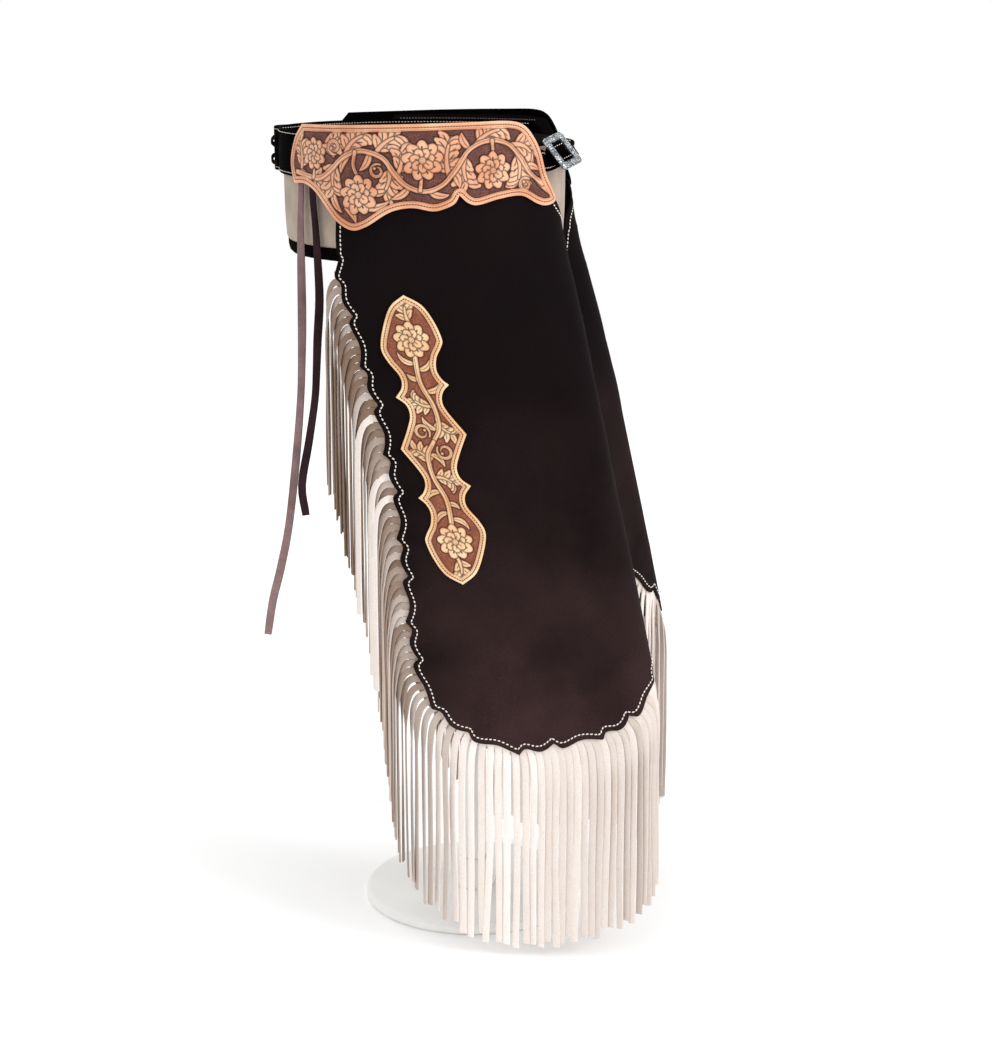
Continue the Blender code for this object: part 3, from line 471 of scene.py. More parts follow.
WHITE_THREAD = Thread("off-white bonded thread")
FAINT_THREAD = Thread("grey thread of the lining", colour="6d6462", shade="3d3635")
TAN_THREAD = Thread("tan waxed thread", colour="8a5427", shade="4a2812")
SILVER = EngravedSilver("nickel silver, engraved")
FORM_CLOTH = WovenCover("cream cotton cover")
# the charcoal band's cover; the cap takes it too, its darkness painted shade inside the belt ring
FORM_DARK_AND_CAP_SHADE = WovenCover("charcoal cotton band", colour="0b0707", shade="060404", sheen=0.0, ior=1.08)
STEEL = PowderCoat("steel, off-white powder coat")
FLOOR = PalePaper("pale studio floor")


# ---------------------------------------------------------------------------------------- the drape
@dataclass(frozen=True)
class Crease:
    """A soft trough or ridge in a leg panel: a line on the pattern, its half width and its depth, in mm."""

    start: tuple[float, float]
    end: tuple[float, float]
    width: float
    depth: float


CREASES = (
    Crease((34, 716), (8, 640), 11, 0.9), Crease((96, 728), (118, 590), 17, -1.3),
    Crease((128, 690), (150, 560), 9, 0.9), Crease((-44, 700), (-20, 610), 10, 0.7),
    Crease((140, 540), (132, 400), 20, -1.0), Crease((20, 430), (110, 372), 16, 0.9),
    Crease((-30, 352), (38, 318), 13, 0.8), Crease((92, 300), (150, 352), 15, -0.9),
    Crease((60, 560), (70, 470), 24, 0.8), Crease((-36, 470), (-24, 396), 12, -0.7),
)


@dataclass
class Drape:
    """How flat leather is bent round the hip and hangs round the thigh."""

    ring_side: float = 0.1615        # half width and half depth of the hip line
    ring_depth: float = 0.1455
    knee_z: float = 0.715            # below this the panels hang free of the form
    hang_z: float = 0.500            # below this they keep one section
    front_turn: float = math.radians(38)
    hang_share: float = 0.22
    lean: float = 0.20
    lean_ease: float = 0.02
    curl: float = math.radians(112)
    curl_length: float = 0.085
    curl_lead: float = 0.6
    roll_z: float = 0.775
    roll_drop: float = 0.045
    form_back: float = 0.045         # the form's axis stands behind the pole
    # Where the panel folds round the front of the thigh: height, and distance from the side line.
    fold_line: tuple = ((0.220, 0.166), (0.400, 0.164), (0.450, 0.163), (0.500, 0.162), (0.550, 0.164),
                        (0.580, 0.167), (0.620, 0.1735), (0.660, 0.1795), (0.700, 0.182), (0.727, 0.1775),
                        (0.745, 0.174))
    crease_fade: tuple[float, float] = (0.738, 0.700)   # heights between which the creases come in
    s_range: tuple[float, float, float] = (-0.260, 0.260, 0.001)
    z_range: tuple[float, float, float] = (0.190, 0.830, 0.002)

    def __post_init__(self) -> None:
        """Tabulates the travel ahead and inwards for every pattern point, from the side line."""
        turn = np.linspace(0.0, math.pi / 2, 400)
        side, depth = self.ring_side * np.cos(turn), self.ring_depth * np.sin(turn)
        self.hip_reach = np.concatenate([[0.0], np.cumsum(np.hypot(np.diff(side), np.diff(depth)))])
        self.hip_heading = np.arctan2(self.ring_side * np.sin(turn), self.ring_depth * np.cos(turn))
        s = np.arange(self.s_range[0], self.s_range[1] + 1e-9, self.s_range[2])
        z = np.arange(self.z_range[0], self.z_range[1] + 1e-9, self.z_range[2])
        turned = self.heading(s[:, None], z[None, :])
        middle = int(np.argmin(np.abs(s)))
        self._along, self._inwards = (self._travel(f(turned), middle) for f in (np.cos, np.sin))

    def _travel(self, rate: np.ndarray, middle: int) -> np.ndarray:
        """Sums a rate outwards from the side line."""
        steps = 0.5 * (rate[1:] + rate[:-1]) * self.s_range[2]
        total = np.vstack([np.zeros((1, rate.shape[1])), np.cumsum(steps, axis=0)])
        return total - total[middle]

    def heading(self, s: np.ndarray, z: np.ndarray) -> np.ndarray:
        """Angle that the leather has turned inwards from straight ahead.

        Args:
            s: Distance from the side line.
            z: Height.

        Returns:
            The angle in radians.
        """
        back = -np.interp(-s, self.hip_reach, self.hip_heading)
        hip = np.interp(s, self.hip_reach, self.hip_heading)
        front = hip / (1.0 + (hip / self.front_turn) ** 4) ** 0.25
        share = smooth((z - self.hang_z) / (self.knee_z - self.hang_z))
        heights, places = zip(*self.fold_line)
        fold = np.interp(z, heights, places)
        rolled = smooth((self.roll_z - z) / self.roll_drop)
        curl = self.curl * rolled * smooth((s - fold + self.curl_lead * self.curl_length) / self.curl_length)
        return np.where(s < 0.0, back, front) * (self.hang_share + (1.0 - self.hang_share) * share) + curl

    def _look_up(self, table: np.ndarray, s: np.ndarray, z: np.ndarray) -> np.ndarray:
        """Value of a table at pattern points."""
        u = np.clip((s - self.s_range[0]) / self.s_range[2], 0.0, table.shape[0] - 1.001)
        v = np.clip((z - self.z_range[0]) / self.z_range[2], 0.0, table.shape[1] - 1.001)
        i, j = u.astype(int), v.astype(int)
        p, q = u - i, v - j
        return ((table[i, j] * (1 - p) + table[i + 1, j] * p) * (1 - q)
                + (table[i, j + 1] * (1 - p) + table[i + 1, j + 1] * p) * q)

    def relief(self, s: np.ndarray, z: np.ndarray) -> np.ndarray:
        """How far the creases lift the leather off its plain shape.

        Args:
            s: Distance from the side line.
            z: Height.

        Returns:
            The lift of each point.
        """
        total = np.zeros(np.broadcast(s, z).shape)
        for crease in CREASES:
            a, b = np.array(crease.start) * MM, np.array(crease.end) * MM
            run = b - a
            t = ((s - a[0]) * run[0] + (z - a[1]) * run[1]) / float(run @ run)
            held = np.clip(t, 0.0, 1.0)
            gap = np.hypot(s - a[0] - held * run[0], z - a[1] - held * run[1])
            total -= crease.depth * MM * np.exp(-(gap / (crease.width * MM)) ** 2)
        return total * smooth((self.crease_fade[0] - z) / (self.crease_fade[0] - self.crease_fade[1]))

    def place(self, s: np.ndarray, z: np.ndarray, off: np.ndarray | float = 0.0,
              side: Side = Side.RIGHT) -> np.ndarray:
        """Points in space of pattern points.

        Args:
            s: Distance from the side line.
            z: Height.
            off: Distance out of the sheet.
            side: Which leg.

        Returns:
            One row of x, y, z for each point.
        """
        s, z = np.broadcast_arrays(np.asarray(s, float), np.asarray(z, float))
        turn = self.heading(s, z)
        lift = off + self.relief(s, z)
        drop = np.maximum(self.knee_z - z, 0.0)
        ahead = (self.lean * (np.hypot(drop, self.lean_ease) - self.lean_ease)
                 + self._look_up(self._along, s, z) + lift * np.sin(turn))
        out = self.ring_side - self._look_up(self._inwards, s, z) + lift * np.cos(turn)
        return np.stack([-side.value * out, self.form_back - ahead, z], axis=-1)

    def normal(self, s: np.ndarray, z: np.ndarray, side: Side = Side.RIGHT) -> np.ndarray:
        """Outward directions of the sheet."""
        turn = self.heading(np.asarray(s, float), np.asarray(z, float))
        return np.stack([-side.value * np.cos(turn), -np.sin(turn), np.zeros_like(turn)], axis=-1)


# ---------------------------------------------------------------------------------------- meshes
@dataclass
class Net:
    """A flat triangle net inside an outline."""

    points: np.ndarray
    faces: np.ndarray
    loop: np.ndarray      # the net's numbers of the outline's points, in order

    @classmethod
    def inside(cls, outline: np.ndarray, step: float) -> "Net":
        """Fills a closed outline with points in rows.

        Args:
            outline: The outline's points.
            step: Distance between inner points.

        Returns:
            The net.
        """
        low, high = outline.min(axis=0), outline.max(axis=0)
        rows = np.arange(low[1], high[1], step * math.sqrt(0.75))
        grid = [np.stack([np.arange(low[0] + (r % 2) * 0.5 * step, high[0], step),
                          np.full(len(np.arange(low[0] + (r % 2) * 0.5 * step, high[0], step)), z)], axis=1)
                for r, z in enumerate(rows)]
        inner = np.vstack(grid)
        inner = inner[edge_room(outline, inner) > 0.45 * step]
        count = len(outline)
        every = [Vector(p) for p in np.vstack([outline, inner])]
        edges = [(i, (i + 1) % count) for i in range(count)]
        points, _, faces, origin, *_ = delaunay_2d_cdt(every, edges, [], 1, 1e-7)
        number = {old: new for new, olds in enumerate(origin) for old in olds}
        triangles = np.array([f for f in faces if len(f) == 3])
        flat = np.array([(p.x, p.y) for p in points])
        a, b, c = (flat[triangles[:, k]] for k in range(3))
        turned = (b[:, 0] - a[:, 0]) * (c[:, 1] - a[:, 1]) - (b[:, 1] - a[:, 1]) * (c[:, 0] - a[:, 0]) < 0
        triangles[turned] = triangles[turned][:, ::-1]
        return cls(flat, triangles, np.array([number[i] for i in range(count)]))


def linked(name: str, data: bpy.types.ID) -> Object:
    """A new object in the scene."""
    made = bpy.data.objects.new(name, data)
    bpy.context.scene.collection.objects.link(made)
    return made


def new_object(name: str, verts: np.ndarray, faces: list, finishes: list[Finish],
               slots: np.ndarray | None = None, sharp: float = 40.0, turn_out: bool = True) -> Object:
    """A mesh object whose place is in its mesh.

    Args:
        name: The object's name.
        verts: Points.
        faces: Lists of point numbers.
        finishes: The finishes of its material slots.
        slots: The slot of each face.
        sharp: Angle in degrees over which an edge is sharp.
        turn_out: Whether to make the faces point outwards.

    Returns:
        The object.
    """
    mesh = bpy.data.meshes.new(name)
    mesh.from_pydata([tuple(v) for v in verts], [], [list(f) for f in faces])
    if slots is not None:
        mesh.polygons.foreach_set("material_index", np.asarray(slots, np.int32))
    if turn_out:
        solid = bmesh.new()
        solid.from_mesh(mesh)
        bmesh.ops.recalc_face_normals(solid, faces=solid.faces)
        solid.to_mesh(mesh)
        solid.free()
    mesh.shade_smooth()
    mesh.set_sharp_from_angle(angle=math.radians(sharp))
    for finish in finishes:
        mesh.materials.append(finish.made())
    return linked(name, mesh)


def put_marks(obj: Object, marks: dict[str, np.ndarray]) -> None:
    """Stores numbers at an object's points for its material."""
    for name, values in marks.items():
        layer = obj.data.attributes.new(name, "FLOAT", "POINT")
        layer.data.foreach_set("value", np.asarray(values, np.float32))


def loft(rings: np.ndarray, closed: bool = False) -> tuple[np.ndarray, list]:
    """Points and faces of a skin through rings of equal length.

    Args:
        rings: Rings, points, xyz.
        closed: Whether the last ring joins the first instead of both being capped.

    Returns:
        Points and faces.
    """
    total, count = rings.shape[:2]
    faces = []
    for r in range(total if closed else total - 1):
        a, b = r * count, ((r + 1) % total) * count
        faces += [(a + i, a + (i + 1) % count, b + (i + 1) % count, b + i) for i in range(count)]
    if not closed:
        faces.append(tuple(reversed(range(count))))
        faces.append(tuple((total - 1) * count + i for i in range(count)))
    return rings.reshape(-1, 3), faces


@dataclass
class Sheet:
    """One piece of leather: its outline, thickness and place off the drape, bent onto one leg."""

    outline: np.ndarray
    step: float
    back: float
    front: float
    round_edge: float = 0.0004
    carving: "Carving | None" = None
    dyed_edge: float = 0.96       # share of the edge, from the inner face, that has the inner face's colour
    nets: tuple[Net, Net] = field(init=False)

    def __post_init__(self) -> None:
        """Cuts the front's net and a plainer one for the back."""
        self.nets = (Net.inside(self.outline, self.step), Net.inside(self.outline, max(4 * MM, self.step)))
        front = self.nets[0].points
        self.lift = -self.round_edge * np.exp(-np.abs(edge_room(self.outline, front)) / self.round_edge)
        self.marks: dict[str, np.ndarray] = {}
        if self.carving:
            self.carving.work(front / MM, edge_room(self.outline, front) / MM)
            self.lift = self.lift + self.carving.height() * MM
            self.marks = self.carving.marks()

    def made(self, name: str, drape: Drape, side: Side, faces_finish: Finish, back_finish: Finish
             ) -> Object:
        """Bends the piece onto a leg.

        Args:
            name: The object's name.
            drape: The drape.
            side: Which leg.
            faces_finish: Finish of the front and the edge.
            back_finish: Finish of the inner face.

        Returns:
            The closed shell.
        """
        front, back = self.nets
        top = drape.place(front.points[:, 0], front.points[:, 1], self.front + self.lift, side)
        low = drape.place(back.points[:, 0], back.points[:, 1], self.back, side)
        edge = self.back + self.dyed_edge * (self.front - self.back)
        rim = drape.place(self.outline[:, 0], self.outline[:, 1], edge, side)
        count, size = len(top), len(self.outline)
        faces = [tuple(f) for f in front.faces] + [tuple(f[::-1] + count) for f in back.faces]
        upper, lower, middle = front.loop, back.loop + count, np.arange(size) + count + len(low)
        slots = [0] * len(front.faces) + [1] * len(back.faces) + [0] * size + [1] * size
        for a, b in ((upper, middle), (middle, lower)):
            faces += [(a[(i + 1) % size], a[i], b[i], b[(i + 1) % size]) for i in range(size)]
        made = new_object(name, np.vstack([top, low, rim]), faces, [faces_finish, back_finish],
                          np.array(slots), sharp=50.0)
        if self.marks:
            put_marks(made, {key: np.concatenate([value, np.full(len(low) + size, self.carving.edge[key])])
                             for key, value in self.marks.items()})
        return made


# ---------------------------------------------------------------------------------------- carving
SPOT = np.array(((0.0, 0.0), (0.01, 0.01)))     # a run so short that its stroke is round


@dataclass
class Carving:
    """Tooled work on a sheet: shapes left raised, ground beaten down, cuts, all in pattern millimetres."""

    motifs: list[Motif]           # in the order in which they overlap
    border: float = 6.6           # width of the plain raised border
    seam: float = 3.3             # distance of its stitch groove from the edge
    depth: float = 0.65           # how far the ground is beaten down
    middle: tuple[float, float] = (0.0, 0.0)     # the motifs' places are taken from here
    turns: tuple[int, ...] = (1,)                # with -1, the work is repeated half a turn round
    edge = {"raised": 1.0, "dark": 0.35, "burnish": 1.0}     # marks of the cut edge and the inner face

    def work(self, points: np.ndarray, room: np.ndarray) -> None:
        """Carves every motif and the border at the given points.

        Args:
            points: The sheet's points.
            room: Their distances from its edge.
        """
        self.level = np.full(len(points), -9.0)
        self.line = np.zeros(len(points))
        for turn in self.turns:
            self.turn, self.points = turn, turn * (points - np.array(self.middle))
            for motif in self.motifs:
                motif.carve(self)
        inner = self.border - room
        self.level = np.maximum(self.level, inner)
        self.line = np.where(inner > 0, 0.0, self.line)
        self.line = np.maximum(self.line, np.clip(1.0 - np.abs(inner + 0.35) / 0.5, 0, 1))
        self.groove = np.clip(1.0 - np.abs(room - self.seam) / 0.75, 0.0, 1.0)
        self.bead = np.clip(1.0 - np.abs(room - self.border + 1.3) / 0.45, 0.0, 1.0)

    def rays(self, count: int, start: float = 0.0) -> np.ndarray:
        """Even directions round a point, from a share of their step on, which turned work doesn't turn."""
        turn = 2 * math.pi * (np.arange(count) + start) / count
        return self.turn * np.stack([np.cos(turn), np.sin(turn)], axis=1)

    def near(self, low: np.ndarray, high: np.ndarray, spare: float) -> np.ndarray:
        """Numbers of the points in a box."""
        p = self.points
        return np.nonzero((p[:, 0] > low[0] - spare) & (p[:, 0] < high[0] + spare)
                          & (p[:, 1] > low[1] - spare) & (p[:, 1] < high[1] + spare))[0]

    def stroke_room(self, path: np.ndarray, half: np.ndarray) -> tuple[np.ndarray, np.ndarray]:
        """Points near a stroke of changing half width, and how deep inside it each lies.

        Args:
            path: Points of the stroke's middle.
            half: Its half width at each of them.

        Returns:
            Numbers of the sheet's points, and their depths.
        """
        which = self.near(path.min(axis=0), path.max(axis=0), float(half.max()) + 2.0)
        p = self.points[which]
        deep = np.full(len(which), -9.0)
        for a, b, ha, hb in zip(path[:-1], path[1:], half[:-1], half[1:]):
            run = b - a
            t = np.clip(((p - a) @ run) / (float(run @ run) + 1e-12), 0.0, 1.0)
            gap = np.linalg.norm(p - a - t[:, None] * run, axis=1)
            deep = np.maximum(deep, ha + (hb - ha) * t - gap)
        return which, deep

    def raise_stroke(self, path: np.ndarray, half: np.ndarray) -> None:
        """Leaves a stroke standing, with a cut line round it."""
        which, deep = self.stroke_room(path, half)
        self.level[which] = np.maximum(self.level[which], deep)
        line = np.where(deep > 0.0, 0.0, self.line[which])
        self.line[which] = np.maximum(line, np.clip(1.25 - np.abs(deep + 0.38) / 0.70, 0.0, 1.0))

    def cut_stroke(self, path: np.ndarray, half: np.ndarray) -> None:
        """Cuts a dark slit."""
        which, deep = self.stroke_room(path, half)
        self.line[which] = np.maximum(self.line[which], np.clip(0.5 + deep / 0.35, 0.0, 1.0))

    def height(self) -> np.ndarray:
        """Height of the carved face, in millimetres."""
        flat = smooth((self.level + 0.25) / 0.6)
        crown = 0.12 * (1.0 - np.exp(-np.maximum(self.level, 0.0) / 1.1))
        beaten = self.depth + 0.22 * np.exp(-np.maximum(-self.level, 0.0) / 1.0)
        return crown - beaten * (1.0 - flat) - 0.35 * self.line - 0.30 * self.groove - 0.12 * self.bead

    def marks(self) -> dict[str, np.ndarray]:
        """Numbers for the material."""
        raised = smooth((self.level + 0.2) / 0.4)
        edge = np.exp(-np.maximum(self.level, 0.0) / 0.85)
        burnish = np.clip(0.80 * edge + 0.85 * self.groove + 0.60 * self.bead, 0.0, 1.0)
        return {"raised": raised, "dark": np.clip(self.line, 0.0, 1.0) * 0.92, "burnish": burnish}


@dataclass(frozen=True)
class Motif:
    """A shape that can be carved."""

    def carve(self, work: Carving) -> None:
        """Carves the shape."""
        raise NotImplementedError


@dataclass(frozen=True)
class Vine(Motif):
    """A tapering stem through points, with a line cut along it."""

    points: tuple
    start: float            # half width at both ends
    end: float

    def carve(self, work: Carving) -> None:
        """Raises the stem and cuts its line."""
        path = respaced(spline(self.points, 8), 1.2)
        half = np.linspace(self.start, self.end, len(path))
        work.raise_stroke(path, half)
        line = path + leftward(path) * (0.25 * half)[:, None]
        work.cut_stroke(line[3:-3], 0.10 * half[3:-3] + 0.04)


@dataclass(frozen=True)
class Bent(Motif):
    """A shape along a run that bends to one side."""

    base: tuple[float, float]
    tip: tuple[float, float]
    bend: float             # how far its middle stands off the straight line, as a share of its length

    def path(self, share: np.ndarray) -> np.ndarray:
        """Points at shares of the way from the base to the tip."""
        base = np.array(self.base, float)
        run = np.array(self.tip, float) - base
        across = np.array((-run[1], run[0]))
        return base + run * share[:, None] + across * (self.bend * 4 * share * (1 - share))[:, None]


@dataclass(frozen=True)
class Leaf(Bent):
    """A long pointed leaf, cut along its middle."""

    width: float

    def carve(self, work: Carving) -> None:
        """Raises the blade and cuts its slit."""
        share = np.linspace(0.0, 1.0, 22)
        path = self.path(share)
        half = 0.5 * self.width * np.sin(math.pi * share ** 0.75) ** 0.8 + 0.3
        work.raise_stroke(path, half)
        keep = (share > 0.12) & (share < 0.84)
        work.cut_stroke(path[keep], (0.11 * half + 0.05)[keep])


@dataclass(frozen=True)
class Frond(Bent):
    """A curved leaf of finger lobes that overlap from the tip back to the stem."""

    lobes: int
    size: float

    def carve(self, work: Carving) -> None:
        """Raises the lobes from the tip back, then the rib over them."""
        path = self.path(np.linspace(0.0, 1.0, 25))
        ahead, side = unit(np.gradient(path, axis=0)), leftward(path)
        t = np.linspace(0.0, 1.0, 11)[:, None]
        work.raise_stroke(path[18:], np.linspace(0.40, 0.12, 7) * self.size)
        for k in range(self.lobes - 1, -1, -1):
            at = 0.10 + 0.66 * k / max(self.lobes - 1, 1)
            grow = self.size * (0.75 + 0.5 * math.sin(math.pi * (0.15 + 0.75 * at)))
            i = int(at * 24)
            for sign in (1, -1):
                end = path[i] + ahead[i] * grow * 1.05 + side[i] * sign * grow * 1.0
                lobe = path[i] + (end - path[i]) * t + ahead[i] * (0.55 * grow * t * (1 - t)) \
                    + side[i] * sign * (-0.30 * grow * t * (1 - t))
                half = grow * (0.11 + 0.30 * np.sin(math.pi * np.clip(t[:, 0] ** 1.2, 0.0, 0.88)))
                work.raise_stroke(lobe, half)
                work.cut_stroke(lobe[3:9], 0.13 * half[3:9] + 0.03)
        work.raise_stroke(path[:20], np.linspace(0.26, 0.12, 20) * self.size)


@dataclass(frozen=True)
class Scroll(Motif):
    """A coiling scroll with a round end."""

    middle: tuple[float, float]
    radius: float
    start: float            # degrees
    sweep: float            # degrees, negative is clockwise
    width: float

    def carve(self, work: Carving) -> None:
        """Raises the coil and its end, and cuts its line."""
        share = np.linspace(0.0, 1.0, 91)
        turn = np.radians(self.start + self.sweep * share)
        away = np.stack([np.cos(turn), np.sin(turn)], axis=1)
        half = 0.5 * self.width * (0.30 + 0.70 * np.sin(math.pi * np.clip(0.10 + 0.95 * share, 0, 1)) ** 0.8)
        outer = self.radius * (1.0 - 0.52 * share ** 1.6)
        path, line = (np.array(self.middle) + away * (outer - part * half)[:, None] for part in (1.0, 0.95))
        work.raise_stroke(path, half)
        work.cut_stroke(line[10:84], 0.05 * half[10:84] + 0.10)
        work.raise_stroke(path[-1] + SPOT, np.full(2, 0.20 * self.width + 0.9))


@dataclass(frozen=True)
class Blossom(Motif):
    """An open flower of plain petals round a seeded middle; its petals stand alike in turned work."""

    middle: tuple[float, float]
    radius: float
    petals: int

    def carve(self, work: Carving) -> None:
        """Raises the petals and the middle, and cuts the seeds."""
        middle, radius = np.array(self.middle, float), self.radius
        width = math.pi * radius / self.petals
        for away in work.rays(self.petals, 0.3):
            path = middle + away * np.linspace(0.30, 0.76, 5)[:, None] * radius
            work.raise_stroke(path, width * np.array((0.35, 0.55, 0.74, 0.80, 0.62)))
            work.cut_stroke(path[1:4], np.full(3, 0.045 * radius))
        work.raise_stroke(middle + SPOT, np.full(2, 0.27 * radius))
        for away in work.rays(5):
            work.cut_stroke(middle + 0.14 * radius * away + SPOT, np.full(2, 0.04 * radius))


YOKE_WORK = [
    # Leaves and fronds that lie under the stems, from the back end to the front.
    Frond((-110, 769), (-115, 801), -0.12, 4, 7.6), Frond((-80, 792), (-58, 804), -0.12, 4, 8.6),
    Frond((-96, 764), (-74, 748), 0.14, 4, 8.6), Leaf((-112, 768), (-98, 757), 0.12, 6.0),
    Leaf((-68, 753), (-58, 732), -0.14, 6.6), Leaf((-50, 784), (-59, 768), -0.14, 6.0),
    Frond((-63, 778), (-66, 751), -0.14, 4, 8.8), Frond((-54, 786), (-30, 804), 0.14, 4, 8.8),
    Leaf((-30, 788), (-40, 771), 0.14, 6.4), Frond((-24, 787), (-2, 803), 0.10, 4, 8.8),
    Frond((-12, 776), (-18, 750), 0.12, 4, 8.6), Leaf((-36, 738), (-12, 744), -0.12, 6.6),
    Leaf((-56, 738), (-44, 723), 0.14, 6.4), Frond((-4, 769), (-2, 790), -0.12, 3, 8.0),
    Leaf((6, 757), (-10, 746), 0.12, 6.2), Leaf((24, 753), (42, 750), -0.14, 6.0),
    Frond((42, 766), (44, 802), 0.10, 5, 8.8), Frond((57, 787), (60, 757), -0.12, 4, 8.8),
    Leaf((60, 792), (53, 806), 0.14, 6.4), Leaf((45, 770), (51, 756), 0.10, 6.2),
    Frond((66, 795), (96, 808), 0.12, 4, 8.2),
    Frond((106, 788), (107, 757), 0.12, 5, 9.0), Frond((102, 794), (124, 782), 0.18, 4, 9.0),
    Leaf((118, 774), (130, 770), 0.12, 6.0), Leaf((126, 763), (146, 744), 0.06, 7.2),
    # The running stem and its branches.
    Vine(((-117, 767), (-100, 764), (-84, 763), (-70, 771), (-56, 783), (-38, 789), (-18, 783), (-7, 769),
          (4, 758), (20, 753), (36, 759), (48, 773), (60, 790), (78, 798), (97, 795), (110, 783), (120, 769),
          (134, 757)), 2.6, 2.0),
    Vine(((-92, 763), (-91, 770)), 1.8, 1.6), Vine(((-44, 788), (-46, 776), (-42, 766)), 1.9, 1.5),
    Vine(((16, 754), (17, 764)), 1.8, 1.6), Vine(((82, 798), (83, 788)), 1.9, 1.6),
    # Flowers of two rows of petals, and curls between them.
    *(Blossom(middle, size, petals) for middle, radius in (((-91, 785), 15.5), ((-41, 749), 19.0),
                                                           ((18, 781), 19.0), ((83, 771), 18.0))
      for size, petals in ((radius, 9), (0.56 * radius, 7))),
    Scroll((-66, 792), 8.0, 285, -440, 3.2), Scroll((-23, 771), 7.6, 62, 430, 3.2),
    Scroll((116, 757), 7.4, 50, 430, 3.2),
]

APPLIQUE_MIDDLE = (-8.0, 520.6)
# One half of the applique's work, from its middle; the other half is the same, turned half round.
APPLIQUE_WORK = [
    Frond((0, 112), (0, 130), 0.10, 3, 6.8), Frond((7, 22), (22, 8), -0.18, 4, 6.2),
    Frond((6, 34), (-12, 42), 0.16, 4, 6.0), Leaf((3, 48), (17, 56), -0.20, 5.0),
    Leaf((0, 60), (-12, 64), 0.20, 4.6), Leaf((0, 68), (12, 78), -0.20, 4.8),
    Leaf((-2, 74), (-17, 84), 0.20, 4.8), Leaf((5, 12), (-6, 24), 0.18, 4.8),
    Vine(((0, 0), (8, 14), (7, 34), (-1, 56), (-1, 82)), 2.0, 2.4),
    Scroll((-9, 9), 8.5, 325, 430, 3.2),
    Blossom((-1, 96), 17.5, 9), Blossom((-1, 96), 9.8, 7),
]


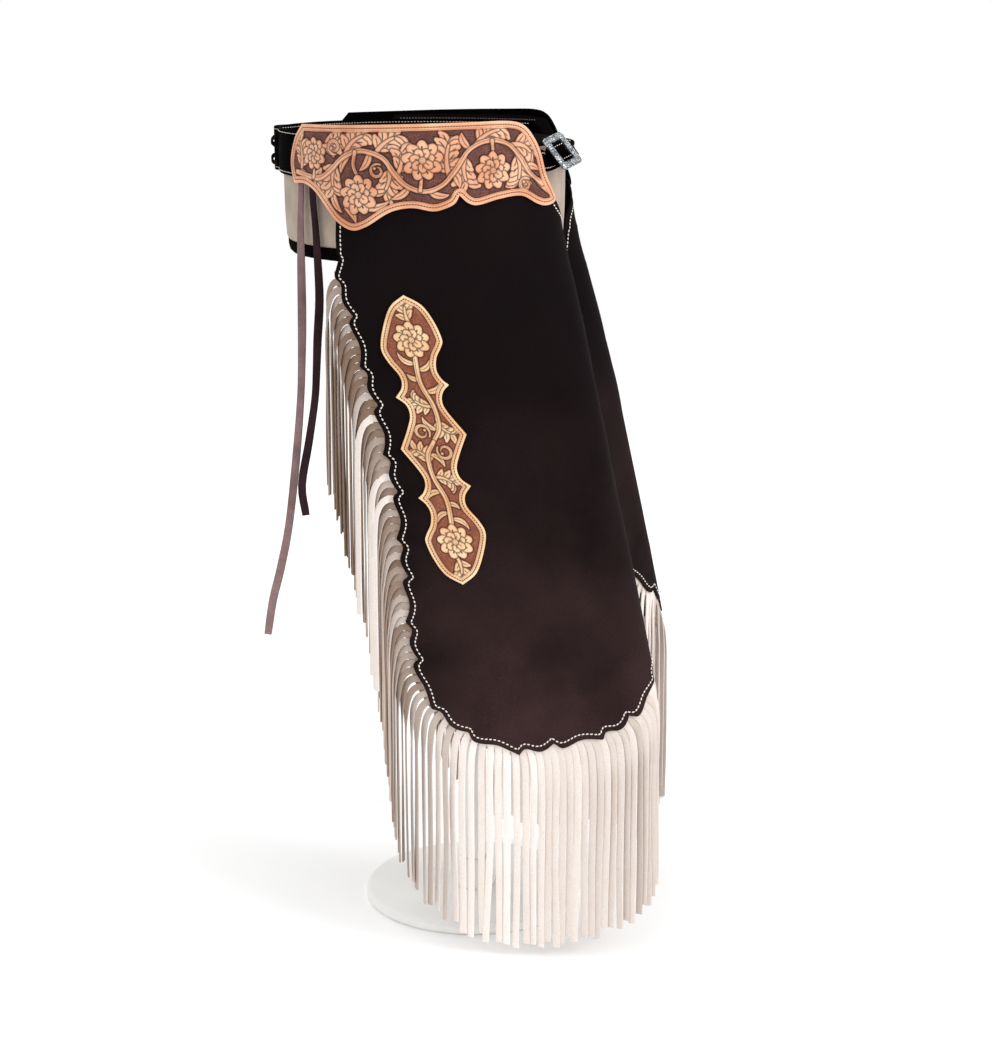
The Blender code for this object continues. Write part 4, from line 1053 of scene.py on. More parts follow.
# ---------------------------------------------------------------------------------------- what repeats
class Repeats:
    """Geometry Nodes trees that sew stitches along a seam and run straps along paths."""

    def __init__(self) -> None:
        """Builds both trees."""
        self.stitches = self._stitch_tree()
        self.straps = self._strap_tree()

    @staticmethod
    def _tree(name: str, sizes: dict[str, float]) -> tuple[NodeTree, dict[str, NodeSocket]]:
        """A tree with a mesh input, named sizes and a material; returns it and its inputs by name."""
        tree = bpy.data.node_groups.new(name, "GeometryNodeTree")
        tree.interface.new_socket("Mesh", in_out="INPUT", socket_type="NodeSocketGeometry")
        for size, value in sizes.items():
            socket = tree.interface.new_socket(size, in_out="INPUT", socket_type="NodeSocketFloat")
            socket.default_value = value
        tree.interface.new_socket("Finish", in_out="INPUT", socket_type="NodeSocketMaterial")
        tree.interface.new_socket("Mesh", in_out="OUTPUT", socket_type="NodeSocketGeometry")
        given = add_node(tree, "NodeGroupInput")
        return tree, {socket.name: socket for socket in given.outputs if socket.name}

    def _stitch_tree(self) -> NodeTree:
        """A rounded stitch at every point, laid along the point's way."""
        tree, given = self._tree("stitches along a seam",
                                 {"Length": 0.003, "Width": 0.0009, "Height": 0.0007})
        ball = add_node(tree, "GeometryNodeMeshUVSphere", {"Segments": 6, "Rings": 5, "Radius": 0.5})
        size = add_node(tree, "ShaderNodeCombineXYZ", {"X": given["Length"], "Y": given["Width"],
                                                       "Z": given["Height"]})
        stitch = add_node(tree, "GeometryNodeTransform", {"Geometry": ball, "Scale": size})
        way, rise = (add_node(tree, "GeometryNodeInputNamedAttribute", {"Name": n}, data_type="FLOAT_VECTOR")
                     for n in ("way", "rise"))
        lie = add_node(tree, "FunctionNodeAxesToRotation", {"Primary Axis": way,
                                                           "Secondary Axis": rise},
                       primary_axis="X", secondary_axis="Z")
        laid = add_node(tree, "GeometryNodeInstanceOnPoints", {"Points": given["Mesh"],
                                                               "Instance": stitch,
                                                               "Rotation": lie})
        return self._ended(tree, laid, given["Finish"])

    def _strap_tree(self) -> NodeTree:
        """A strap of rounded section along every chain of edges, lying by the points' own marks."""
        tree, given = self._tree("straps along paths",
                                 {"Width": 0.008, "Thickness": 0.0016, "Corner": 0.0004})
        paths = add_node(tree, "GeometryNodeMeshToCurve", {"Mesh": given["Mesh"]})
        lie = add_node(tree, "GeometryNodeInputNamedAttribute", {"Name": "rise"}, data_type="FLOAT_VECTOR")
        laid = add_node(tree, "GeometryNodeSetCurveNormal", {"Curve": paths, "Normal": lie},
                        mode="FREE")
        swell = add_node(tree, "GeometryNodeInputNamedAttribute", {"Name": "swell"}, data_type="FLOAT")
        section = add_node(tree, "GeometryNodeCurvePrimitiveQuadrilateral", {"Width": given["Thickness"],
                                                                            "Height": given["Width"]})
        rounded = add_node(tree, "GeometryNodeFilletCurve", {"Curve": section, "Count": 2,
                                                            "Radius": given["Corner"]}, mode="POLY")
        skin = add_node(tree, "GeometryNodeCurveToMesh", {"Curve": laid,
                                                         "Profile Curve": rounded,
                                                         "Scale": swell, "Fill Caps": True})
        return self._ended(tree, skin, given["Finish"])

    @staticmethod
    def _ended(tree: NodeTree, geometry: Node, finish: NodeSocket) -> NodeTree:
        """Ends a tree in real geometry with its material."""
        real = add_node(tree, "GeometryNodeRealizeInstances", {"Geometry": geometry})
        round_ = add_node(tree, "GeometryNodeSetShadeSmooth", {"Geometry": real})
        dressed = add_node(tree, "GeometryNodeSetMaterial", {"Geometry": round_, "Material": finish})
        add_node(tree, "NodeGroupOutput", [dressed])
        return tree

    @staticmethod
    def _grown(name: str, tree: NodeTree, mesh: Mesh, sizes: dict[str, float],
               finish: Finish) -> Object:
        """Runs a tree on a mesh and keeps the result as a plain object.

        Args:
            name: The new object's name.
            tree: The tree.
            mesh: The points or paths with their marks.
            sizes: The tree's sizes by name.
            finish: The material.

        Returns:
            The object.
        """
        seed = linked(name + "_seed", mesh)
        modifier = seed.modifiers.new("nodes", "NODES")
        modifier.node_group = tree
        for item in tree.interface.items_tree:
            if item.in_out == "INPUT" and item.name in sizes:
                modifier[item.identifier] = sizes[item.name]
            elif item.in_out == "INPUT" and item.name == "Finish":
                modifier[item.identifier] = finish.made()
        bpy.context.view_layer.update()
        seen = seed.evaluated_get(bpy.context.evaluated_depsgraph_get())
        result = bpy.data.meshes.new_from_object(seen)
        result.name = name
        seed.modifiers.clear()
        bpy.data.objects.remove(seed)
        return linked(name, result)

    def sew(self, name: str, points: np.ndarray, ways: np.ndarray, rises: np.ndarray, length: float,
            finish: Finish, width: float = 0.0015) -> Object:
        """Stitches at points.

        Args:
            name: The object's name.
            points: Middles of the stitches.
            ways: Directions along them.
            rises: Directions out of the leather.
            length: Length of a stitch.
            finish: The thread.
            width: Width of a stitch.

        Returns:
            The stitches as one object.
        """
        mesh = bpy.data.meshes.new(name + "_points")
        mesh.from_pydata([tuple(p) for p in points], [], [])
        for mark, values in (("way", ways), ("rise", rises)):
            mesh.attributes.new(mark, "FLOAT_VECTOR", "POINT").data.foreach_set(
                "vector", np.asarray(values, np.float32).ravel())
        return self._grown(name, self.stitches, mesh,
                           {"Length": length, "Width": width, "Height": 0.75 * width}, finish)

    def strap(self, name: str, paths: list[np.ndarray], rises: list[np.ndarray], swells: list[np.ndarray],
              tones: list[float], width: float, thick: float, finish: Finish) -> Object:
        """Straps along paths.

        Args:
            name: The object's name.
            paths: Points of each path.
            rises: Directions out of each strap's flat face.
            swells: Share of the full size at each point.
            tones: Each strap's tone mark.
            width: Full width.
            thick: Full thickness.
            finish: The leather.

        Returns:
            The straps as one object.
        """
        mesh = bpy.data.meshes.new(name + "_paths")
        edges, start = [], 0
        for path in paths:
            edges += [(start + i, start + i + 1) for i in range(len(path) - 1)]
            start += len(path)
        mesh.from_pydata([tuple(p) for path in paths for p in path], edges, [])
        mesh.attributes.new("rise", "FLOAT_VECTOR", "POINT").data.foreach_set(
            "vector", np.vstack(rises).astype(np.float32).ravel())
        mesh.attributes.new("swell", "FLOAT", "POINT").data.foreach_set(
            "value", np.concatenate(swells).astype(np.float32))
        mesh.attributes.new("tone", "FLOAT", "POINT").data.foreach_set(
            "value", np.concatenate([np.full(len(p), t) for p, t in zip(paths, tones)]).astype(np.float32))
        made = self._grown(name, self.straps, mesh,
                           {"Width": width, "Thickness": thick, "Corner": 0.3 * thick}, finish)
        made.data.set_sharp_from_angle(angle=math.radians(50.0))
        return made


# ---------------------------------------------------------------------------------------- the legs
@dataclass
class LegPattern:
    """The outlines of one leg's pieces; both legs are cut from it."""

    edge_margin: float = 0.0055
    panel_thick: float = 0.0020
    yoke_thick: float = 0.0027
    applique_thick: float = 0.0020
    gap: float = 0.0003
    # Stitch line of the leg panel, back edge first and then round the hem, without its scallops.
    panel_line: tuple = ((-61, 745), (-63.5, 700), (-68, 672), (-62.5, 637), (-57, 591), (-53.3, 550), (-51, 506),
                         (-52, 465), (-55.5, 425), (-60, 382), (-65, 335), (-67.5, 300), (-66, 280),
                         (-57.5, 260), (-44, 244), (-26, 231), (-5, 224), (15, 222), (45, 226), (80, 233),
                         (114, 247), (140, 266), (160, 289), (178, 308), (200, 321), (216, 341), (223, 368),
                         (225.5, 402))
    panel_front: tuple = ((230, 440), (231, 520), (229, 570), (225.5, 610), (220, 640), (214, 660), (208, 676),
                          (203, 687), (199, 698), (193.5, 707), (186, 716), (175, 725), (163, 733), (156, 739),
                          (152, 744))
    panel_hidden: tuple = ((144, 748), (135, 772), (127, 792), (116, 806), (90, 809), (-55, 808), (-64, 800),
                           (-66.5, 745))
    # One repeat of the scalloped edge: distance along it, how far it stands out, and whether it is a point.
    scallop_rows: tuple = ((0, 3.5, True), (7, -2.5, False), (20, 1.5, False), (36, -5.0, True), (43, 1.5, False),
                           (63, -3.0, False), (83, 3.5, True))
    scallop_start: float = 0.074
    scallop_lead: float = 0.020
    yoke_runs: tuple = (
        ((-108, 811.5), (-60, 812), (0, 813.5), (60, 815), (98, 815.5), (115, 811), (126, 799), (133, 785),
         (139, 765), (150, 744), (146, 738.5), (137, 737), (128, 739.5), (112, 747), (90, 745), (69, 740),
         (59, 742), (51, 749)),
        ((51, 749), (47, 742), (38.5, 737.5), (27, 735), (8.5, 738), (-11, 734), (-34, 720), (-49, 716.5),
         (-66, 725), (-80, 740), (-92, 751), (-106, 756.5), (-124, 756.0)),
        ((-124, 756.0), (-129.5, 776), (-121.5, 797), (-108, 811.5)),
    )
    applique_runs: tuple = (
        ((0, 137.7), (14.4, 128.7), (22.9, 113.9), (27.3, 97.0), (25.0, 89.5), (18.9, 79.5), (16.7, 68.3),
         (19.7, 59.9), (25.4, 54.3)),
        ((25.4, 54.3), (19.4, 48.6), (16.1, 40.1), (18.5, 29.7), (32.6, 7.7)),
        ((32.6, 7.7), (22.5, -11), (17.0, -24.4), (18.7, -34.5), (26.9, -41.4)),
        ((26.9, -41.4), (19.4, -51.1), (19.1, -61.7), (27.7, -75.1), (31.5, -87.7), (25.4, -107.1),
         (14.9, -126.3), (0, -137.7)),
    )

    def __post_init__(self) -> None:
        """Works out the stitch line's reach and outward directions."""
        self.line = spline(self.panel_line, 12) * MM
        self.reach = reach_of(self.line)
        self.away = -leftward(self.line)

    @property
    def length(self) -> float:
        """Length of the stitch line."""
        return float(self.reach[-1])

    def scallop(self, place: np.ndarray) -> np.ndarray:
        """How far the scalloped edge stands out of its plain line.

        Args:
            place: Distances along the stitch line.

        Returns:
            The distance out at each place.
        """
        rows = np.array([(w, h) for w, h, _ in self.scallop_rows], float)
        turn = ((place - self.scallop_start) / MM) % rows[-1, 0]
        which = np.clip(np.searchsorted(rows[:, 0], turn, side="right") - 1, 0, len(rows) - 2)
        t = (turn - rows[which, 0]) / (rows[which + 1, 0] - rows[which, 0])
        points = np.array([p for *_, p in self.scallop_rows])
        eased = np.where(points[which], np.sin(0.5 * math.pi * t),
                         np.where(points[which + 1], 1.0 - np.cos(0.5 * math.pi * t), smooth(t)))
        high = rows[which, 1] + (rows[which + 1, 1] - rows[which, 1]) * eased
        return np.where(place < self.scallop_start - self.scallop_lead, 0.0, high) * MM

    def out(self, place: np.ndarray, distance: np.ndarray | float) -> np.ndarray:
        """Pattern points at a distance outside the stitch line."""
        point, away = sampled(place, self.reach, self.line), self.away_at(place)
        return point + away * (np.asarray(distance)[..., None] if np.ndim(distance) else distance)

    def away_at(self, place: np.ndarray | float) -> np.ndarray:
        """Outward directions on the pattern at places of the stitch line."""
        return unit(sampled(place, self.reach, self.away))

    def panel_outline(self, step: float) -> np.ndarray:
        """Closed outline of the leg panel."""
        places = np.arange(0.0, self.length, step)
        edge = self.out(places, self.edge_margin + self.scallop(places))
        front = respaced(spline(self.panel_front, 8) * MM, step)
        hidden = respaced(np.array(self.panel_hidden, float) * MM, 2 * step)
        return np.vstack([edge, front, hidden])

    def yoke_outline(self, step: float) -> np.ndarray:
        """Closed outline of the yoke."""
        return np.vstack([respaced(spline(run, 10) * MM, step)[:-1] for run in self.yoke_runs])

    def applique_outline(self, step: float) -> np.ndarray:
        """Closed outline of the applique."""
        half = np.vstack([respaced(spline(run, 10) * MM, step)[:-1] for run in self.applique_runs])
        return np.vstack([half, -half]) + np.array(APPLIQUE_MIDDLE) * MM


@dataclass
class Legs:
    """Suede panel, tooled yoke and applique of each leg, with their sewing."""

    drape: Drape
    pattern: LegPattern
    repeats: Repeats
    panel_step: float = 0.0045
    yoke_step: float = 0.00068
    applique_step: float = 0.00058
    panel_pitch: float = 0.0041
    border_pitch: float = 0.0026
    border_share: float = 0.86         # length of a border stitch as a share of its pitch
    yoke_inset: float = 0.0033         # of the border stitches from the edge
    applique_inset: float = 0.0028
    thread_sunk: float = 0.0002        # how far the border stitches lie in their groove
    lining_seam: tuple = ((-0.052, 0.8045), (0.104, 0.8045))
    lining_pitch: float = 0.0032
    panel_edge_step: float = 0.0022    # between an outline's points
    tooled_edge_step: float = 0.0010
    quick_share: float = 2.5

    def __post_init__(self) -> None:
        """Cuts the flat pieces once for both legs."""
        p = self.pattern
        on = p.panel_thick + p.gap
        quick = 1.0
        edge = self.tooled_edge_step * quick
        self.panel = Sheet(p.panel_outline(self.panel_edge_step), self.panel_step, 0.0, p.panel_thick)
        self.yoke = Sheet(p.yoke_outline(edge), self.yoke_step * quick, on, on + p.yoke_thick,
                          carving=Carving(YOKE_WORK))
        self.applique = Sheet(p.applique_outline(edge), self.applique_step * quick, on, on + p.applique_thick,
                              carving=Carving(APPLIQUE_WORK, 5.6, 2.8, 0.6, APPLIQUE_MIDDLE, (1, -1)))

    def seam(self, name: str, side: Side, runs: list[np.ndarray], off: float, pitch: float, finish: Finish,
             share: float = 0.78, inside: bool = False) -> Object:
        """Sews stitches along runs on the pattern.

        Args:
            name: The object's name.
            side: Which leg.
            runs: Pattern points of each run.
            off: Height of the thread's middle over the drape.
            pitch: Distance from stitch to stitch.
            finish: The thread.
            share: Length of a stitch as a share of the pitch.
            inside: Whether the thread lies on the inner face.

        Returns:
            The stitches.
        """
        points, ways, rises = [], [], []
        for run in runs:
            even = respaced(run, pitch)
            middle = 0.5 * (even[1:] + even[:-1])
            ends = [self.drape.place(e[:, 0], e[:, 1], off, side) for e in (even[:-1], even[1:])]
            points.append(self.drape.place(middle[:, 0], middle[:, 1], off, side))
            rise = self.drape.normal(middle[:, 0], middle[:, 1], side) * (-1.0 if inside else 1.0)
            rises.append(rise)
            way = unit(ends[1] - ends[0])
            ways.append(unit(way + 0.14 * np.cross(rise, way)))
        return self.repeats.sew(name, np.vstack(points), np.vstack(ways), np.vstack(rises), share * pitch,
                                finish)

    def inset(self, outline: np.ndarray, distance: float, step: float = 0.0015) -> np.ndarray:
        """A closed run at a distance inside an outline, with its ends joined.

        Args:
            outline: The outline's points.
            distance: How far inside.
            step: Rough distance between new points.

        Returns:
            The run, whose last point is its first.
        """
        middle = respaced(outline, step, closed=True)
        ahead = np.roll(middle, -2, axis=0) - np.roll(middle, 2, axis=0)
        inward = unit(np.stack([-ahead[:, 1], ahead[:, 0]], axis=1))
        if edge_room(outline, (middle + inward * 0.001)[:1])[0] < 0:
            inward = -inward
        run = middle + inward * distance
        kept = run[edge_room(outline, run) > 0.93 * distance]
        return np.vstack([kept, kept[:1]])

    def build(self, side: Side) -> list[Object]:
        """Makes one leg.

        Args:
            side: Which leg.

        Returns:
            Panel, yoke, applique, and the stitches.
        """
        p, tag = self.pattern, side.tag
        panel = self.panel.made(f"panel_{tag}_suede", self.drape, side, CHOCOLATE_SUEDE, CHOCOLATE_SUEDE)
        yoke = self.yoke.made(f"yoke_{tag}_tooled", self.drape, side, YOKE_LEATHER, LINING_LEATHER)
        applique = self.applique.made(f"applique_{tag}_tooled", self.drape, side, APPLIQUE_LEATHER,
                                      APPLIQUE_LEATHER)
        places = np.arange(0.004, p.length, 0.001)
        edge = p.out(places, p.scallop(places))
        front = spline(p.panel_front, 8) * MM
        front = front + leftward(front) * p.edge_margin
        stitched = [
            self.seam(f"stitches_panel_{tag}", side, [edge, front], p.panel_thick + 0.0001, self.panel_pitch,
                      WHITE_THREAD),
            *(self.seam(f"stitches_{name}_{tag}", side, [self.inset(sheet.outline, inset)],
                        sheet.front - self.thread_sunk, self.border_pitch, TAN_THREAD, self.border_share)
              for name, sheet, inset in (("yoke", self.yoke, self.yoke_inset),
                                         ("applique", self.applique, self.applique_inset))),
            self.seam(f"stitches_lining_{tag}", side, [np.array(self.lining_seam)], -0.0001,
                      self.lining_pitch, FAINT_THREAD, inside=True),
        ]
        on_panel = [stitched[0], stitched[3]]
        for piece, node, slot in ((panel, "panel_", "chocolate_suede"), (yoke, "yoke_", "tooled_leather"),
                                  (applique, "applique_", "tooled_leather")):
            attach(piece, ROOT)
            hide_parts(node + tag)
        for piece in stitched:
            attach(piece, ROOT)
        self.declare(panel, self.panel.outline, ["belt_" + tag, "form_body"], on_panel)
        self.declare(yoke, self.yoke.outline, [panel], [stitched[1]])
        self.declare(applique, self.applique.outline, [panel], [stitched[2]])
        return [panel, yoke, applique, *stitched]

    @staticmethod
    def declare(piece: Object, outline: np.ndarray, rests_on: list, with_pieces: list) -> None:
        """Takes a leather sheet, its outline and its neighbours, and does nothing with them."""


@dataclass
class Fringe:
    """Suede fringe of each leg: a strip under the panel's edge, cut into strands that hang."""

    drape: Drape
    pattern: LegPattern
    repeats: Repeats
    first_root: float = 0.078
    last_inset: float = 0.010
    pitch: float = 0.0071
    strip_in: float = -0.0060
    strip_out: float = 0.0100          # where the strands start to turn down
    strip_off: float = -0.0006
    strip_thick: float = 0.0015
    strip_sunk: float = 0.0014         # how far the strip lies behind the strands' faces
    ridge: float = 0.0005              # how far the strip puckers between strands
    # painted shade across the strip, deepest in the grooves between strands
    groove_painted_shade: tuple = (0.0, 0.10, 0.30, 0.45, 0.55, 0.55, 0.45, 0.30, 0.10, 0.0)
    thick: float = 0.0016
    width: float = 0.0072              # of a strand
    length: float = 0.200
    droop: float = 0.0105
    droop_share: float = 0.4
    floor_clear: float = 0.0105
    spread: tuple[float, float] = (-0.0012, 0.0022)
    hem_spread: float = 0.0008
    lap: float = 0.38                  # turn, in radians, at which neighbours lap over each other
    lap_run: float = 0.004             # how soon they reach it
    final_turn: float = 0.40 * math.pi       # turn of a side strand where it hangs, and of a loose one
    loose_turn: float = 0.12 * math.pi
    turn_from: float = 0.014           # where it starts to turn so far, and over what length
    turn_over: float = 0.038
    bend_run: float = 0.045            # top length that takes more sections
    uneven: tuple = ((0.004, 2.3, 0.0), (0.002, 5.1, 1.0))   # waves in length: height, turn by strand, start
    right_seed: int = 1000
    left_seed: int = 1500
    # painted shade of the tone marks: most where a side edge stands upright and its strands are edge-on, little
    # on the loose strands that lie flat over them
    loose_painted_shade: float = 0.15
    back_painted_shade: float = 0.85            # share of the shaded tone where the edge is upright, back and front
    front_painted_shade: float = 0.45
    # Side strands that lie flat over the others: number, and how far they lie out.
    loose: tuple = ((18, 0.0080), (26, 0.0065), (29, 0.0085))

    def roots(self) -> np.ndarray:
        """Places of the strands along the stitch line."""
        last = self.pattern.length - self.last_inset
        return np.arange(self.first_root, last, self.pitch)

    def sideways(self, place: float, side: Side) -> float:
        """How far the strip points away from straight down at a place: 0 at the hem, 1 at an upright edge."""
        near, far = (self.pattern.out(np.float64(place), out)
                     for out in (self.strip_out, self.strip_out + MM))
        outward = self.drape.place(far[0], far[1], 0.0, side) - self.drape.place(near[0], near[1], 0.0, side)
        return float(math.sqrt(max(0.0, 1.0 - float(unit(outward)[2]) ** 2)))

    def tone(self, place: float, level: float) -> float:
        """Share of painted shade at a place whose edge stands at a given level of upright."""
        most = self.back_painted_shade + (self.front_painted_shade - self.back_painted_shade) * place / self.pattern.length
        return 0.03 + most * level ** 1.5

    def strand(self, place: float, number: int, side: Side) -> tuple:
        """Path of one strand.

        Args:
            place: Its place along the stitch line.
            number: Its number from the top of the back edge.
            side: Which leg.

        Returns:
            Points, directions out of the flat face, share of the full width at each point, and its tone.
        """
        middle = self.strip_off - 0.5 * self.thick
        away = self.pattern.away_at(place)
        root = self.pattern.out(np.float64(place), self.strip_out)
        inner = self.pattern.out(np.float64(place), self.pattern.edge_margin - 0.001)
        centre = self.drape.place(root[0], root[1], middle, side)
        normal = self.drape.normal(root[0], root[1], side)
        beyond, beside = root + away * MM, root + np.array((-away[1], away[0])) * MM
        outward = unit(self.drape.place(beyond[0], beyond[1], middle, side) - centre)
        edge_way = unit(self.drape.place(beside[0], beside[1], middle, side) - centre)
        swing = math.acos(float(np.clip(-outward[2], -1.0, 1.0)))
        level = abs(math.sin(swing))
        rng = np.random.default_rng(number + (self.left_seed if side is Side.LEFT else self.right_seed))
        length = self.length + sum(high * math.sin(turn * number + start)
                                   for high, turn, start in self.uneven)
        length = min(length, float(centre[2]) - self.floor_clear + self.droop_share * self.droop * swing)
        level_out = np.array((outward[0], outward[1], 0.0))
        level_out = unit(level_out) if np.linalg.norm(level_out) > 1e-6 else edge_way
        stations = np.concatenate([np.linspace(0.0, self.bend_run, 13),
                                   np.linspace(self.bend_run, length, 21)[1:]])
        fine = np.linspace(0.0, length, 401)
        left = swing * np.exp(-0.5 * (fine[1:] + fine[:-1]) / self.droop)
        steps = level_out * np.sin(left)[:, None] - np.array(UP) * np.cos(left)[:, None]
        steps = steps * (fine[1] - fine[0])
        track = centre + np.vstack([np.zeros(3), np.cumsum(steps, axis=0)])
        path = sampled(stations, fine, track)
        turned = 1.0 - np.exp(-stations / self.droop)
        travel = unit(np.gradient(path, axis=0))
        sign = 1.0 if float(np.cross(normal, outward) @ edge_way) > 0.0 else -1.0
        flat = unit(np.cross(normal, travel)) * sign
        loose = dict(self.loose).get(number)
        final = (self.loose_turn if loose else self.final_turn) + rng.normal(0.0, 0.08)
        lapped = self.lap * (1.0 - np.exp(-stations / self.lap_run))
        turning = lapped + (final - self.lap) * smooth((stations - self.turn_from) / self.turn_over)
        twist = turning * level ** 1.5 + (1.0 - level) * rng.normal(0.0, 0.16) * smooth(stations / 0.08)
        twist = twist + rng.normal(0.0, 0.10) * smooth((stations - 0.06) / 0.12)
        thin = normal * np.cos(twist)[:, None] - flat * np.sin(twist)[:, None]
        out_by = self.spread[number % 2] * level + (self.hem_spread * (1 - 2 * (number % 2))) * (1.0 - level)
        out_by = loose if loose else out_by
        sway = rng.normal(0.0, 0.0009) * np.sin(stations / 0.034 + rng.uniform(0, 6.3))
        sway = sway * smooth(stations / 0.07)
        lean = rng.normal(0.0, 0.0016) * (stations / self.length) ** 2
        path = path + normal * (out_by * turned)[:, None]
        path = path + flat * ((sway + lean) * (1.0 - 0.6 * level))[:, None] + normal * (sway * level)[:, None]
        start = self.drape.place(inner[0], inner[1], middle, side)
        path = np.vstack([start, 0.5 * (start + path[0]), path])
        thin = np.vstack([thin[:1], thin[:1], thin])
        share = rng.uniform(0.90, 1.00)
        swell = np.full(len(path), share)
        # painted shade by how upright the edge is, with a random tone for each strand
        tone = self.tone(place, level) + rng.normal(0.02, 0.07 + 0.07 * level)
        return path, thin, swell, (self.loose_painted_shade if loose else float(np.clip(tone, 0.0, 0.95)))

    def strip(self, side: Side) -> Object:
        """The uncut strip that carries the strands.

        Args:
            side: Which leg.

        Returns:
            The strip.
        """
        roots = self.roots()
        places = np.arange(roots[0] - 0.008, roots[-1] + 0.008, 0.0026)
        outs = np.array((self.strip_in, 0.002, 0.005, 0.0080, self.strip_out + 0.0012))
        ridge = self.ridge * np.cos(2 * math.pi * (places - roots[0]) / self.pitch)
        rings = []
        for place, lift in zip(places, ridge):
            flat = self.pattern.out(np.full(len(outs), place), outs)
            fade = smooth((outs - 0.004) / 0.006)
            off = self.strip_off - self.strip_sunk * fade + lift * fade
            front = self.drape.place(flat[:, 0], flat[:, 1], off, side)
            back = self.drape.place(flat[::-1, 0], flat[::-1, 1], self.strip_off - 2 * self.strip_thick, side)
            rings.append(np.vstack([front, back]))
        verts, faces = loft(np.array(rings))
        strip = new_object(f"fringe_strip_{side.tag}", verts, faces, [CREAM_SUEDE], sharp=50.0)
        # painted shade along the strip, darker in its grooves between strands
        shade = [self.tone(place, self.sideways(place, side)) for place in places]
        tone = np.array(shade)[:, None] + np.outer(0.5 - 0.5 * ridge / self.ridge, self.groove_painted_shade)
        put_marks(strip, {"tone": np.clip(tone, 0.0, 0.95).ravel()})
        return strip

    def build(self, side: Side) -> list[Object]:
        """Makes one leg's fringe.

        Args:
            side: Which leg.

        Returns:
            Strands and strip.
        """
        paths, rises, swells, tones = zip(*[self.strand(place, k, side)
                                            for k, place in enumerate(self.roots())])
        strands = self.repeats.strap(f"fringe_strands_{side.tag}", list(paths), list(rises), list(swells),
                                     list(tones), self.width, self.thick, CREAM_SUEDE)
        strip = self.strip(side)
        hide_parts(f"fringe_{side.tag}")
        for piece in (strands, strip):
            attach(piece, ROOT)
        return [strands, strip]


# ---------------------------------------------------------------------------------------- belt and buckle
@dataclass
class StrapFrame:
    """One section of a strap: middle, width direction, face direction, width and thickness."""

    middle: Vector
    across: Vector
    face: Vector
    width: float
    thick: float


